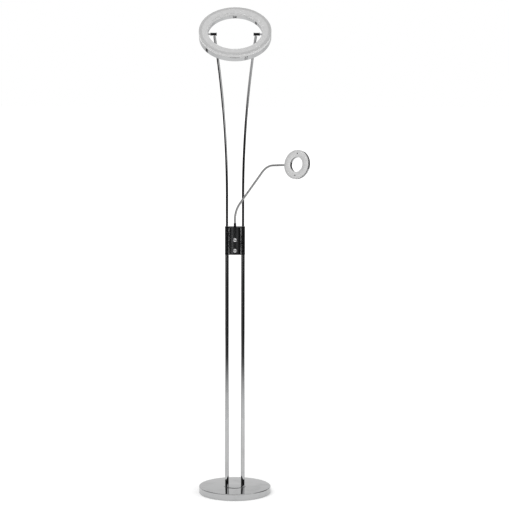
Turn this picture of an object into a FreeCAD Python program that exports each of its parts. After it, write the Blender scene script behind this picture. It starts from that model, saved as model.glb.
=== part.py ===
import FreeCAD, Part

# Torchiere floor lamp with a ring-shaped uplight head and a ring-shaped reading light.
# Frame: origin on the floor under the middle of the base, +Z up, the front of the lamp faces -Y,
# and the reading arm reaches out to +X. Millimetres and degrees.

import math
import os

import Sketcher

Vector = FreeCAD.Vector
doc = FreeCAD.newDocument("torchiere_lamp")


# Driving sizes

SIZES = (
    # round base
    ("base_diameter", 268.0, "outside of the chrome cover"),
    ("base_height", 25.0, "top of the cover above the floor"),
    ("cover_wall", 1.5, "sheet of the cover"),
    ("cover_edge", 2.5, "outer radius of the cover's top edge"),
    ("cover_lift", 1.2, "rim of the cover above the floor"),
    ("cover_bulge", 0.4, "play for the cover's round wall behind the gland's flat lip"),
    ("pad_margin", 9.0, "foam pad inside the cover's rim"),
    ("pad_thickness", 2.5, ""),
    ("weight_margin", 18.0, "cast weight inside the cover's rim"),
    ("recess_diameter", 25.0, "recess under the weight for nut and washer"),
    ("recess_depth", 10.0, ""),
    ("channel_width", 9.0, "channel for the mains lead under the weight"),
    ("gland_height", 11.5, "axis of the cord gland above the floor"),
    ("gland_bore", 7.0, ""),
    ("gland_wall", 1.5, "rubber in the hole of the cover"),
    ("gland_lip", 2.6, "rubber behind the cover"),
    ("gland_flange", 3.0, "rubber outside the cover"),
    ("gland_inside", 6.0, "length behind the cover"),
    ("gland_proud", 2.2, "length outside the cover"),
    ("foot_plate_margin", 12.5, "thin plate under the pole feet, beyond a pole's axis"),
    ("foot_plate_thickness", 1.5, ""),
    ("foot_plate_edge", 0.4, "chamfer of its rim"),
    ("foot_washer", 1.5, "thickness of the washers under the weight"),
    ("foot_washer_play", 1.5, "washer inside its recess"),
    ("foot_nut", 6.0, "thickness of the nuts under the weight"),
    ("foot_nut_flat", 3.5, "flat of a nut beyond its nipple"),
    ("nipple_end", 1.0, "nipple beyond its nut"),
    # poles
    ("pole_spacing", 59.0, "between the two pole axes"),
    ("lower_pole_diameter", 13.5, ""),
    ("lower_pole_wall", 1.2, ""),
    ("upper_pole_diameter", 9.0, ""),
    ("upper_pole_wall", 1.0, ""),
    ("bow_start", 110.0, "straight foot of each upper pole above the box"),
    ("lead_play", 0.4, "lead inside the bore of the coupler, radial"),
    ("lead_tail", 40.0, "lead below the box's top"),
    ("lead_setback", 17.0, "lead ends this far short of the pole's top"),
    ("insert_length", 20.0, "threaded insert in a tube's end"),
    ("insert_wall", 0.45, ""),
    ("nipple_wall", 1.5, "wall of the threaded nipple in a pole's foot"),
    ("thread_setback", 2.0, "nipple or coupler short of the insert's end"),
    ("spigot_length", 22.0, "coupler inside the upper pole"),
    ("coupler_wall", 0.85, "wall of that spigot"),
    ("coupler_step", 0.55, "rod through the box thicker than its spigot, radial"),
    ("plug_length", 15.0, "plug inside the top of an upper pole"),
    ("plug_neck", 4.4, "spigot of the plug in the pivot knuckle"),
    ("plug_bore", 2.6, ""),
    ("plug_play", 0.02, "radial, beyond what the tube's bow needs"),
    # control box
    ("box_bottom", 897.0, "underside of the control box above the floor"),
    ("box_tall", 103.0, "height of the control box with both caps"),
    ("core_inset", 6.0, "side of the box's middle part inside the pole axis"),
    ("core_depth", 40.0, ""),
    ("core_corner", 3.5, "radius of its upright corners"),
    ("front_crown", 130.0, "radius of the gently curved front"),
    ("lobe_wrap", 0.75, "lobe of the box beyond the lower pole's surface"),
    ("box_wall", 2.2, "walls of the middle part"),
    ("cap_thickness", 3.0, ""),
    ("cap_lip", 0.4, "cap stands proud of the box by this"),
    ("window_margin", 5.0, "frame left around the opening at the back"),
    ("back_cover_thickness", 2.0, ""),
    ("back_screw", 3.0, ""),
    ("back_screw_head", 4.6, ""),
    ("back_screw_head_depth", 1.4, ""),
    ("back_screw_end", 1.0, "screw beyond the wall it is in"),
    ("driver_inset", 4.3, "LED driver from the side walls"),
    ("driver_depth", 19.0, ""),
    ("driver_tall", 58.0, ""),
    ("board_inset", 2.3, "circuit board from the side walls"),
    ("board_thickness", 1.6, ""),
    ("board_floor", 3.0, "board above the bottom cap"),
    ("board_headroom", 15.0, "board below the top cap"),
    ("terminal_inset", 7.3, "terminal block from the side walls"),
    ("terminal_depth", 10.0, ""),
    ("terminal_tall", 12.0, ""),
    ("terminal_lift", 6.0, "terminal block above the driver"),
    ("terminal_hole", 3.2, ""),
    ("terminal_hole_depth", 7.0, ""),
    ("terminal_pitch", 7.0, ""),
    # dimmers
    ("knob_diameter", 13.0, ""),
    ("knob_length", 11.0, ""),
    ("knob_gap", 3.0, "knob in front of the panel"),
    ("knob_seat", 8.0, "shaft inside the knob"),
    ("knob_edge", 1.0, "chamfer of the face"),
    ("knob_back_edge", 0.6, ""),
    ("pointer_width", 1.0, "groove in the knob's face"),
    ("pointer_depth", 0.6, ""),
    ("pointer_start", 1.5, "groove from the knob's axis"),
    ("upper_knob_rise", 56.0, "knob axis above the underside of the box"),
    ("lower_knob_rise", 16.5, "knob axis above the underside of the box"),
    ("dimmer_diameter", 16.0, ""),
    ("dimmer_depth", 8.0, ""),
    ("bush_diameter", 7.6, "threaded bush of a dimmer"),
    ("bush_proud", 2.4, "bush in front of the panel"),
    ("dimmer_nut", 2.0, "thickness of the nut on the bush"),
    ("dimmer_nut_flat", 1.4, "flat of that nut beyond the bush"),
    ("shaft_sink", 5.0, "shaft inside the dimmer, behind the panel"),
    ("shaft_diameter", 6.0, ""),
    ("knob_rest", -145.0, "angle of the pointer at rest, from straight up"),
    # uplight head, in its own frame: level 0 is the pivot axis
    ("pivot_height", 1702.0, "pivot axis above the floor"),
    ("head_tilt", 41.0, "tilt towards the front at rest"),
    ("head_diameter", 263.5, ""),
    ("head_ring_width", 32.75, "width of the ring's face"),
    ("head_rim", 4.0, "rim of the housing above the pivot axis"),
    ("head_inner_depth", 14.0, "inner wall of the housing"),
    ("head_outer_depth", 20.2, "outer wall of the housing"),
    ("head_wall", 2.0, ""),
    ("head_screw_level", -3.0, "screws in the inner wall"),
    ("deck_thickness", 1.5, "board ring with the LEDs"),
    ("lens_thickness", 11.5, "clear ring on the head"),
    ("lens_groove", 2.5, "depth of the groove over the LEDs"),
    ("lens_groove_half", 6.0, "half its width"),
    ("lens_edge", 1.2, "radius of the clear ring's upper edges"),
    ("head_led_count", 48.0, ""),
    ("head_led_length", 5.0, ""),
    ("head_led_width", 3.0, ""),
    ("head_led_thickness", 0.8, ""),
    ("knuckle_gap", 9.5, "pivot knuckle to the ring's inner wall"),
    ("knuckle_length", 22.7, ""),
    ("pole_seat", 8.3, "top of the pole from the knuckle's inner end"),
    ("knuckle_radius", 5.1, ""),
    ("knuckle_flare", 0.7, "flared ends stand proud by this"),
    ("knuckle_room", 0.311, "from the high side of the leaning pole end to the flares"),
    ("flare_length", 1.8, ""),
    ("flare_slope", 1.6, "length over which a flare runs out"),
    ("knuckle_edge", 0.5, "chamfer of the flares"),
    ("pivot_pin_diameter", 5.0, ""),
    ("pivot_pin_sink", 9.5, "pin inside the knuckle"),
    ("pivot_thread", 4.0, "threaded end of the pin in the ring's wall"),
    ("pivot_collar", 7.2, ""),
    ("pivot_washer", 1.2, ""),
    ("pivot_washer_diameter", 8.4, ""),
    ("pivot_nut", 3.2, ""),
    ("pivot_nut_across", 7.0, ""),
    ("head_screw", 3.0, "screws in the ring's inner wall"),
    ("head_screw_head", 6.0, ""),
    ("seam_plate_inset", 1.5, "plate below the rim of the housing"),
    ("seam_plate_foot", 3.5, "plate above the bottom of the housing"),
    ("seam_plate_thickness", 1.0, ""),
    ("seam_plate_angle", 15.0, "plate over the joint of the outer band"),
    # reading arm
    ("arm_diameter", 8.2, ""),
    ("arm_bore", 3.4, ""),
    ("arm_root_forward", 10.0, "arm root in front of the pole axes"),
    ("ferrule_length", 13.0, ""),
    ("ferrule_wall", 0.75, ""),
    ("ferrule_sink", 8.0, "arm inside the ferrule"),
    ("ferrule_tail", 6.0, "diameter of the threaded tail through the top cap"),
    ("ferrule_tail_end", 6.0, "tail below the top cap"),
    ("arm_nut", 3.0, ""),
    ("arm_nut_flat", 1.8, "flat of the nut beyond the tail"),
    ("arm_elbow_rise", 60.0, "where the first bend would be a corner, above the box"),
    ("arm_reach", 116.5, "second corner to the right of the arm root"),
    ("arm_rise", 226.0, "height of that corner above the box"),
    ("arm_forward", 25.0, "second corner in front of the pole axes"),
    ("lower_bend_radius", 104.0, ""),
    ("upper_bend_radius", 54.0, ""),
    ("tip_length", 82.5, "second corner to the reading head"),
    ("tip_turn", 36.0, "arm's last run turns towards the front by this"),
    ("tip_climb", 5.6, "rise of the last run"),
    ("arm_play", 0.3, "gap in the ball joints of the arm"),
    ("arm_swing", 41.0, "largest swing for which the ball joints are open"),
    ("sway_setback", 6.0, "lowest joint below the first bend"),
    ("nod_offset", 8.0, "second joint beyond the first bend"),
    ("elbow_offset", 108.0, "third joint beyond the first bend"),
    ("wrist_offset", 10.0, "fourth joint beyond the second bend"),
    # reading head, in its own frame: level 0 is the joint of housing and clear ring
    ("reading_diameter", 106.0, ""),
    ("reading_ring_width", 26.4, ""),
    ("reading_depth", 8.0, "housing"),
    ("reading_wall", 1.4, ""),
    ("reading_floor", 1.2, ""),
    ("reading_deck", 1.0, "board ring with the LEDs"),
    ("reading_lens", 4.0, "clear ring"),
    ("reading_groove", 1.6, ""),
    ("reading_groove_half", 3.5, ""),
    ("reading_edge", 0.8, ""),
    ("reading_led_count", 24.0, ""),
    ("reading_led_size", 3.0, ""),
    ("reading_led_thickness", 0.7, ""),
    ("reading_roll", 10.5, "face tips up around the arm's axis by this"),
    ("reading_screw_angle", 86.0, "screws around the ring from the arm"),
    ("reading_screw", 2.4, ""),
    ("reading_screw_head", 4.4, ""),
    ("reading_screw_head_depth", 1.4, ""),
    ("reading_screw_sink", 1.2, "screw heads below the face"),
    ("swivel_pin_diameter", 4.0, "pin that the reading head turns on"),
    ("swivel_pin_bore", 2.0, ""),
    ("swivel_pin_sink", 7.0, "pin inside the arm"),
    ("swivel_collar", 5.2, "collar inside the head's wall"),
    ("swivel_collar_depth", 1.4, ""),
    # clearances
    ("running_gap", 0.05, "radial, shaft in its hole"),
    ("fit_gap", 0.05, "radial, fixed piece in its seat"),
    ("side_gap", 0.3, "between faces that turn past each other"),
    ("hole_play", 0.2, "radial, bolt in its clearance hole"),
)

sheet = doc.addObject("Spreadsheet::Sheet", "Sizes")
for row, (alias, number, note) in enumerate(SIZES, start=1):
    sheet.set(f"A{row}", alias)
    sheet.set(f"B{row}", str(number))
    sheet.set(f"C{row}", note)
    sheet.setAlias(f"B{row}", alias)
doc.recompute()


def size(rule):
    """Number that a rule, such as 'base_diameter / 2', gives with the sheet's sizes."""
    return float(sheet.evalExpression(rule))


def cell(rule):
    """The same rule as another object of the document writes it."""
    words = [name for name, number, note in SIZES]
    parts = []
    word = ""
    for letter in rule + " ":
        if letter.isalnum() or letter == "_":
            word += letter
            continue
        parts.append("Sizes." + word if word in words else word)
        parts.append(letter)
        word = ""
    return "".join(parts).strip()


# Levels and places that several pieces share

COVER_IN = "(base_diameter / 2 - cover_wall)"
COVER_UNDER = "(base_height - cover_wall)"
FOOT_TOP = "(base_height + foot_plate_thickness)"
RECESS_TOP = "(pad_thickness + recess_depth)"
POLE_X = "(pole_spacing / 2)"
SOCKET = "(lower_pole_diameter / 2 - lower_pole_wall - fit_gap)"
NIPPLE = f"({SOCKET} - insert_wall - fit_gap)"
SPIGOT = "(upper_pole_diameter / 2 - upper_pole_wall - fit_gap)"
ROD = f"({SPIGOT} + coupler_step)"
ROD_BORE = f"({SPIGOT} - coupler_wall)"

BOX_TOP = "(box_bottom + box_tall)"
BOX_FLOOR = "(box_bottom + cap_thickness)"
BOX_CEILING = f"({BOX_TOP} - cap_thickness)"
CORE_HALF = f"({POLE_X} - core_inset)"
FRONT = "(core_depth / 2)"
CAVITY_BACK = "(core_depth / 2 - box_wall)"
CAVITY_FRONT = "(core_depth / 2 - 2 * box_wall)"
CAVITY_HALF = f"({CORE_HALF} - box_wall)"
BOARD_FRONT = f"({CAVITY_FRONT} - dimmer_depth)"
KNOB_HEIGHTS = (
    ("upper", "(box_bottom + upper_knob_rise)"),
    ("lower", "(box_bottom + lower_knob_rise)"),
)

HEAD_OUT = "(head_diameter / 2)"
HEAD_IN = "(head_diameter / 2 - head_ring_width)"
HEAD_MIDDLE = "(head_diameter / 2 - head_ring_width / 2)"
HEAD_FLOOR = "(head_rim - head_outer_depth)"
LENS_BASE = "(head_rim + deck_thickness)"
LENS_TOP = f"({LENS_BASE} + lens_thickness)"
KNUCKLE_OUTER = f"({HEAD_IN} - knuckle_gap)"
KNUCKLE_INNER = f"({KNUCKLE_OUTER} - knuckle_length)"

BOW_START = f"({BOX_TOP} + bow_start)"
BOW_SPREAD = f"({KNUCKLE_INNER} + pole_seat - {POLE_X})"
BOW_LEAN = f"(2 * atan({BOW_SPREAD} / (pivot_height - {BOW_START})))"
KNUCKLE_DROP = f"(knuckle_flare + knuckle_room + upper_pole_diameter / 2 * sin({BOW_LEAN}))"
BOW_RISE = f"(pivot_height - knuckle_radius - {KNUCKLE_DROP} - {BOW_START})"
BOW_RADIUS = f"(({BOW_RISE} ^ 2 + {BOW_SPREAD} ^ 2) / (2 * {BOW_SPREAD}))"
BOW_SAG = f"(plug_length ^ 2 / (2 * {BOW_RADIUS}))"

READING_OUT = "(reading_diameter / 2)"
READING_IN = "(reading_diameter / 2 - reading_ring_width)"
READING_MIDDLE = "(reading_diameter / 2 - reading_ring_width / 2)"
READING_RIM = "(reading_depth / 2 - reading_deck)"
READING_JOINT = "(reading_depth / 2)"
READING_FACE = "(reading_depth / 2 + reading_lens)"


# Tools for sketches, solids and placing

AXES = {
    "X": (Vector(0, 1, 0), 90),
    "Y": (Vector(1, 0, 0), -90),
    "Z": (Vector(0, 0, 1), 0),
}


def bind(item, **rules):
    """Tie properties to sizes; a double underscore stands for the dot in a property's path."""
    for path, rule in rules.items():
        item.setExpression(path.replace("__", "."), cell(rule))
    return item


def place(item, x="0", y="0", z="0", along="Z"):
    """Put a solid that was made along its own Z at x, y, z, pointing along a main axis."""
    item.Placement = FreeCAD.Placement(Vector(), FreeCAD.Rotation(*AXES[along]))
    for axis, rule in (("x", x), ("y", y), ("z", z)):
        if rule != "0":
            bind(item, **{f"Placement__Base__{axis}": rule})
    return item


def cylinder(name, radius, height, x="0", y="0", z="0", along="Z"):
    item = doc.addObject("Part::Cylinder", name)
    bind(item, Radius=radius, Height=height)
    return place(item, x, y, z, along)


def box(name, length, width, height, x="0", y="0", z="0"):
    item = doc.addObject("Part::Box", name)
    bind(item, Length=length, Width=width, Height=height)
    return place(item, x, y, z)


def hexagon(name, across, height, x="0", y="0", z="0", along="Z"):
    """Hexagon nut blank."""
    item = doc.addObject("Part::Prism", name)
    item.Polygon = 6
    bind(item, Circumradius=f"{across} / sqrt(3)", Height=height)
    return place(item, x, y, z, along)


def cut(name, base, *tools):
    """base less all tools."""
    tool = tools[0]
    if len(tools) > 1:
        tool = doc.addObject("Part::MultiFuse", name + "_tools")
        tool.Shapes = list(tools)
    item = doc.addObject("Part::Cut", name)
    item.Base = base
    item.Tool = tool
    return item


def fuse(name, *members):
    item = doc.addObject("Part::MultiFuse", name)
    item.Shapes = list(members)
    return item


def common(name, first, second):
    item = doc.addObject("Part::Common", name)
    item.Base = first
    item.Tool = second
    return item


def group(name, members):
    """Identical separate solids that share one node."""
    item = doc.addObject("Part::Compound", name)
    item.Links = list(members)
    return item


def body(name):
    return doc.addObject("PartDesign::Body", name)


def sketch(owner, name, role="XY_Plane", level="0"):
    """Sketch on one of its body's origin planes, lifted along the plane's normal by level."""
    item = owner.newObject("Sketcher::SketchObject", name)
    plane = [feature for feature in owner.Origin.OriginFeatures if feature.Role == role][0]
    item.AttachmentSupport = [(plane, "")]
    item.MapMode = "FlatFace"
    return bind(item, AttachmentOffset__Base__z=level)


def fix_point(item, geometry, vertex, x, y):
    """Hold one vertex of a sketch at a place given by two rules."""
    for kind, rule in (("DistanceX", x), ("DistanceY", y)):
        number = item.addConstraint(Sketcher.Constraint(kind, -1, 1, geometry, vertex, size(rule)))
        item.setExpression(f"Constraints[{number}]", cell(rule))


def draw_circle(item, x, y, radius):
    centre = Vector(size(x), size(y), 0)
    geometry = item.addGeometry(Part.Circle(centre, Vector(0, 0, 1), size(radius)))
    fix_point(item, geometry, 3, x, y)
    number = item.addConstraint(Sketcher.Constraint("Radius", geometry, size(radius)))
    item.setExpression(f"Constraints[{number}]", cell(radius))


def draw_outline(item, corners):
    """Closed outline of straight edges through corners, each a pair of rules."""
    points = [Vector(size(x), size(y), 0) for x, y in corners]
    total = len(points)
    first = item.GeometryCount
    for index in range(total):
        item.addGeometry(Part.LineSegment(points[index], points[(index + 1) % total]))
    for index in range(total):
        following = first + (index + 1) % total
        item.addConstraint(Sketcher.Constraint("Coincident", first + index, 2, following, 1))
    for index, (x, y) in enumerate(corners):
        fix_point(item, first + index, 1, x, y)


def turned(name, corners, angle="360"):
    """Body turned about its own Z; each corner is a radius and a level."""
    owner = body(name)
    profile = sketch(owner, name + "_profile", "XZ_Plane")
    draw_outline(profile, corners)
    feature = owner.newObject("PartDesign::Revolution", name + "_turn")
    feature.Profile = profile
    feature.ReferenceAxis = (profile, ["V_Axis"])
    feature.Midplane = True
    bind(feature, Angle=angle)
    return owner


def round_edges(owner, name, radius, circles):
    """Round the circular edges of a turned body that lie at each radius and level in circles."""
    doc.recompute()
    feature = owner.Tip
    edges = []
    for index, edge in enumerate(feature.Shape.Edges, start=1):
        if not isinstance(edge.Curve, Part.Circle):
            continue
        for reach, level in circles:
            same_reach = abs(edge.Curve.Radius - size(reach)) < 1e-4
            if same_reach and abs(edge.Curve.Center.z - size(level)) < 1e-4:
                edges.append(f"Edge{index}")
    fillet = owner.newObject("PartDesign::Fillet", name)
    fillet.Base = (feature, edges)
    return bind(fillet, Radius=radius)


def tube(name, outer, inner, height, x="0", z="0"):
    """Straight tube padded from a sketch of two circles."""
    owner = body(name)
    profile = sketch(owner, name + "_profile", "XY_Plane", z)
    draw_circle(profile, x, "0", outer)
    draw_circle(profile, x, "0", inner)
    pad = owner.newObject("PartDesign::Pad", name + "_pad")
    pad.Profile = profile
    bind(pad, Length=height)
    return owner


PARTS = []


def keep(item, node):
    """Mark an object as the sub-part of that name."""
    item.Label = node
    PARTS.append(item)
    return item


SIDES = (("left", f"-{POLE_X}"), ("right", POLE_X))


def both_sides(name, make):
    """The same piece in line with the left and the right pole, as one node."""
    return group(name, [make(f"{name}_{side}", x) for side, x in SIDES])


# Base

def make_base_pad():
    keep(cylinder("base_pad_disc", "base_diameter / 2 - pad_margin", "pad_thickness"), "base_pad")


def make_base_weight():
    reach = "(base_diameter / 2 - weight_margin)"
    disc = cylinder("weight_disc", reach, f"{COVER_UNDER} - pad_thickness", z="pad_thickness")
    tools = []
    for side, x in SIDES:
        tools.append(cylinder(f"weight_hole_{side}", f"{NIPPLE} + hole_play", "base_height", x))
        tools.append(cylinder(f"weight_recess_{side}", "recess_diameter / 2", RECESS_TOP, x))
    depth = "gland_height + channel_width / 2"
    half = "channel_width / 2"
    tools.append(box("weight_channel", "channel_width", f"2 * {reach}", depth, f"-{half}"))
    cross = box("weight_cross_channel", "pole_spacing", "channel_width", depth, f"-{POLE_X}", f"-{half}")
    tools.append(cross)
    keep(cut("weight_casting", disc, *tools), "base_weight")


def make_base_cover():
    out = "base_diameter / 2"
    shell = turned("cover_shell", [
        ("0", COVER_UNDER),
        (COVER_IN, COVER_UNDER),
        (COVER_IN, "cover_lift"),
        (out, "cover_lift"),
        (out, "base_height"),
        ("0", "base_height"),
    ])
    round_edges(shell, "cover_edge_round", "cover_edge", [(out, "base_height")])
    tools = []
    for side, x in SIDES:
        name = f"cover_hole_{side}"
        tools.append(cylinder(name, f"{NIPPLE} + hole_play", "base_height", x, "0", "base_height / 2"))
    hole = "gland_bore / 2 + gland_wall + fit_gap"
    tools.append(cylinder("cover_gland_hole", hole, "base_diameter", "0", "0", "gland_height", "Y"))
    keep(cut("cover_pressing", shell, *tools), "base_cover")


def make_cord_gland():
    """Rubber gland in the rear wall; it grips the wall between its flange and its inner lip."""
    bore = "gland_bore / 2"
    neck = f"{bore} + gland_wall"
    flange = f"{bore} + gland_flange"
    wall_back = "-cover_wall - cover_bulge"
    gland = turned("gland_turning", [
        (bore, "-cover_wall - gland_inside"),
        (f"{bore} + gland_lip", "-cover_wall - gland_inside"),
        (f"{bore} + gland_lip", wall_back),
        (neck, wall_back),
        (neck, "hole_play"),
        (flange, "hole_play"),
        (f"{flange} - 0.4 * gland_proud", "gland_proud"),
        (bore, "gland_proud"),
    ])
    keep(place(gland, "0", "base_diameter / 2", "gland_height", "Y"), "cord_gland")


def make_foot_plate():
    out = f"({POLE_X} + foot_plate_margin)"
    disc = turned("foot_plate_disc", [
        ("0", "base_height"),
        (out, "base_height"),
        (out, f"{FOOT_TOP} - foot_plate_edge"),
        (f"{out} - foot_plate_edge", FOOT_TOP),
        ("0", FOOT_TOP),
    ])
    tools = []
    for side, x in SIDES:
        tools.append(cylinder(f"foot_plate_hole_{side}", f"{NIPPLE} + hole_play", "2 * base_height", x))
    keep(cut("foot_plate_pressing", disc, *tools), "foot_plate")


def make_foot_fasteners():
    """Nipples that clamp the poles to the base, with their washers, nuts and inserts."""
    washer_low = f"({RECESS_TOP} - foot_washer)"
    nut_low = f"({washer_low} - foot_nut)"
    start = f"({nut_low} - nipple_end)"
    top = f"({FOOT_TOP} + insert_length - thread_setback)"
    nut_across = f"2 * ({NIPPLE} + foot_nut_flat)"

    def nipple(name, x):
        return tube(name, NIPPLE, f"{NIPPLE} - nipple_wall", f"{top} - {start}", x, start)

    def washer(name, x):
        out = "recess_diameter / 2 - foot_washer_play"
        return tube(name, out, f"{NIPPLE} + hole_play", "foot_washer", x, washer_low)

    def nut(name, x):
        blank = hexagon(name + "_blank", f"({nut_across})", "foot_nut", x, "0", nut_low)
        return cut(name, blank, cylinder(name + "_bore", f"{NIPPLE} + fit_gap", "base_height", x))

    def insert(name, x):
        return tube(name, SOCKET, f"{NIPPLE} + fit_gap", "insert_length", x, FOOT_TOP)

    keep(both_sides("foot_nipple", nipple), "foot_nipples")
    keep(both_sides("foot_washer_pair", washer), "foot_washers")
    keep(both_sides("foot_nut_pair", nut), "foot_nuts")
    keep(both_sides("foot_insert", insert), "foot_inserts")


# Poles

def make_lower_poles():
    out = "lower_pole_diameter / 2"
    rise = f"box_bottom - {FOOT_TOP}"
    for side, x in SIDES:
        pole = tube(f"lower_tube_{side}", out, f"{out} - lower_pole_wall", rise, x, FOOT_TOP)
        keep(pole, f"lower_pole_{side}")

    def insert(name, x):
        return tube(name, SOCKET, f"{ROD} + fit_gap", "insert_length", x, "box_bottom - insert_length")

    keep(both_sides("pole_top_insert", insert), "pole_top_inserts")


def make_couplers():
    """Hollow rods through the box: threaded into the lower poles, with a spigot for the upper ones."""
    start = "box_bottom - insert_length + thread_setback"
    for side, x in SIDES:
        coupler = turned(f"coupler_turning_{side}", [
            (ROD_BORE, start),
            (ROD, start),
            (ROD, BOX_TOP),
            (SPIGOT, BOX_TOP),
            (SPIGOT, f"{BOX_TOP} + spigot_length"),
            (ROD_BORE, f"{BOX_TOP} + spigot_length"),
        ])
        keep(place(coupler, x), f"pole_coupler_{side}")


def bow_angle():
    """Lean of an upper pole at its top."""
    return math.asin(size(f"{BOW_RISE} / {BOW_RADIUS}"))


def bow_point(sign, angle):
    """Point of an upper pole's axis at an angle of the bow."""
    radius = size(BOW_RADIUS)
    x = size(POLE_X) + radius * (1 - math.cos(angle))
    return Vector(sign * x, 0, size(BOW_START) + radius * math.sin(angle))


def bowed(name, sign, start, radii, setback):
    """Pipe along an upper pole's route, from a start level to setback short of the pole's top."""
    x = POLE_X if sign > 0 else f"-{POLE_X}"
    end_level = f"{BOW_START} + {BOW_RISE} - {setback} * cos(asin({BOW_RISE} / {BOW_RADIUS}))"
    owner = body(name)
    route = sketch(owner, name + "_route", "XZ_Plane")
    foot = Vector(sign * size(POLE_X), size(start), 0)
    bend = Vector(foot.x, size(BOW_START), 0)
    top_angle = bow_angle() - size(setback) / size(BOW_RADIUS)
    points = [bow_point(sign, angle) for angle in (top_angle / 2, top_angle)]
    middle, end = [Vector(point.x, point.z, 0) for point in points]
    route.addGeometry(Part.LineSegment(foot, bend))
    route.addGeometry(Part.Arc(bend, middle, end))
    low, high = (1, 2) if (route.getPoint(1, 1) - bend).Length < 0.01 else (2, 1)
    route.addConstraint(Sketcher.Constraint("Tangent", 0, 2, 1, low))
    fix_point(route, 0, 1, x, start)
    route.addConstraint(Sketcher.Constraint("Vertical", 0))
    rules = (
        (Sketcher.Constraint("DistanceY", -1, 1, 0, 2, bend.y), BOW_START),
        (Sketcher.Constraint("Radius", 1, size(BOW_RADIUS)), BOW_RADIUS),
        (Sketcher.Constraint("DistanceY", -1, 1, 1, high, end.y), end_level),
    )
    for constraint, rule in rules:
        number = route.addConstraint(constraint)
        route.setExpression(f"Constraints[{number}]", cell(rule))
    profile = sketch(owner, name + "_profile", "XY_Plane", start)
    for radius in radii:
        draw_circle(profile, x, "0", radius)
    pipe = owner.newObject("PartDesign::AdditivePipe", name + "_pipe")
    pipe.Profile = profile
    pipe.Spine = (route, [])
    return owner


def make_upper_poles():
    outer = "upper_pole_diameter / 2"
    inner = "upper_pole_diameter / 2 - upper_pole_wall"
    lead = f"{ROD_BORE} - lead_play"
    for side, sign in (("left", -1), ("right", 1)):
        keep(bowed(f"upper_tube_{side}", sign, BOX_TOP, (outer, inner), "0"), f"upper_pole_{side}")
        core = bowed(f"lead_{side}_core", sign, f"{BOX_TOP} - lead_tail", (lead,), "lead_setback")
        keep(core, f"head_lead_{side}")


def along_bow(item, sign):
    """Place a solid made along Z at the top of an upper pole, in line with its end."""
    angle = bow_angle()
    turn = FreeCAD.Rotation(Vector(0, sign, 0), math.degrees(angle))
    item.Placement = FreeCAD.Placement(bow_point(sign, angle), turn)
    return item


def make_pole_plugs():
    """Plug in the top of each upper pole, with the neck that holds the pivot knuckle."""
    bore = "plug_bore / 2"
    seat = f"{SPIGOT} - {BOW_SAG} - plug_play"
    neck_end = f"knuckle_radius + {KNUCKLE_DROP}"
    plugs = []
    for side, sign in (("left", -1), ("right", 1)):
        plug = turned(f"pole_plug_{side}", [
            (bore, "-plug_length"),
            (seat, "-plug_length"),
            (seat, "0"),
            ("plug_neck / 2", "0"),
            ("plug_neck / 2", neck_end),
            (bore, neck_end),
        ])
        plugs.append(along_bow(plug, sign))
    keep(group("pole_plug_pair", plugs), "pole_plugs")


# Control box

def box_outline(name, grow, level, rise):
    """Solid of the box's outline: crowned middle part and a round lobe in line with each pole."""
    half = f"({CORE_HALF} + {grow})"
    deep = f"({FRONT} + {grow})"
    owner = body(name + "_core")
    profile = sketch(owner, name + "_core_profile", "XY_Plane", level)
    draw_outline(profile, [
        (f"-{half}", f"-{deep}"),
        (half, f"-{deep}"),
        (half, deep),
        (f"-{half}", deep),
    ])
    pad = owner.newObject("PartDesign::Pad", name + "_core_pad")
    pad.Profile = profile
    bind(pad, Length=rise)
    drum = cylinder(name + "_drum", f"front_crown + {grow}", rise, "0", f"front_crown - {FRONT}", level)
    crowned = common(name + "_crowned", owner, drum)
    doc.recompute()
    uprights = []
    for index, edge in enumerate(crowned.Shape.Edges, start=1):
        if abs(edge.BoundBox.ZLength - size(rise)) < 1e-6 and edge.BoundBox.XLength < 1e-6:
            uprights.append((index, size("core_corner"), size("core_corner")))
    rounded = doc.addObject("Part::Fillet", name + "_rounded")
    rounded.Base = crowned
    rounded.Edges = uprights
    lobe = f"lower_pole_diameter / 2 + lobe_wrap + {grow}"
    lobes = [cylinder(f"{name}_lobe_{side}", lobe, rise, x, "0", level) for side, x in SIDES]
    return fuse(name + "_outline", rounded, *lobes)


def coupler_holes(name, level, rise):
    """Holes for the two rods, as tools for a cut."""
    hole = f"{ROD} + 2 * fit_gap"
    return [cylinder(f"{name}_rod_hole_{side}", hole, rise, x, "0", level) for side, x in SIDES]


def make_control_housing():
    rise = "(box_tall - 2 * cap_thickness)"
    blank = box_outline("housing", "0", BOX_FLOOR, rise)
    tools = coupler_holes("housing", BOX_FLOOR, rise)
    deep = f"({CAVITY_FRONT} + {CAVITY_BACK})"
    wide = f"2 * {CAVITY_HALF}"
    cavity = box("housing_cavity", wide, deep, rise, f"-{CAVITY_HALF}", f"-{CAVITY_FRONT}", BOX_FLOOR)
    tools.append(cavity)
    half = f"({CAVITY_HALF} - window_margin)"
    high = f"{rise} - 2 * window_margin"
    low = f"{BOX_FLOOR} + window_margin"
    tools.append(box("housing_window", f"2 * {half}", FRONT, high, f"-{half}", "0", low))
    for name, height in KNOB_HEIGHTS:
        hole = "bush_diameter / 2 + hole_play / 2"
        tools.append(cylinder(f"housing_{name}_hole", hole, FRONT, "0", f"-{FRONT}", height, "Y"))
    for name, x, z in back_screw_places():
        tools.append(cylinder(f"housing_{name}_hole", BACK_SCREW_HOLE, "box_wall", x, CAVITY_BACK, z, "Y"))
    keep(cut("housing_profile", blank, *tools), "control_housing")


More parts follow.
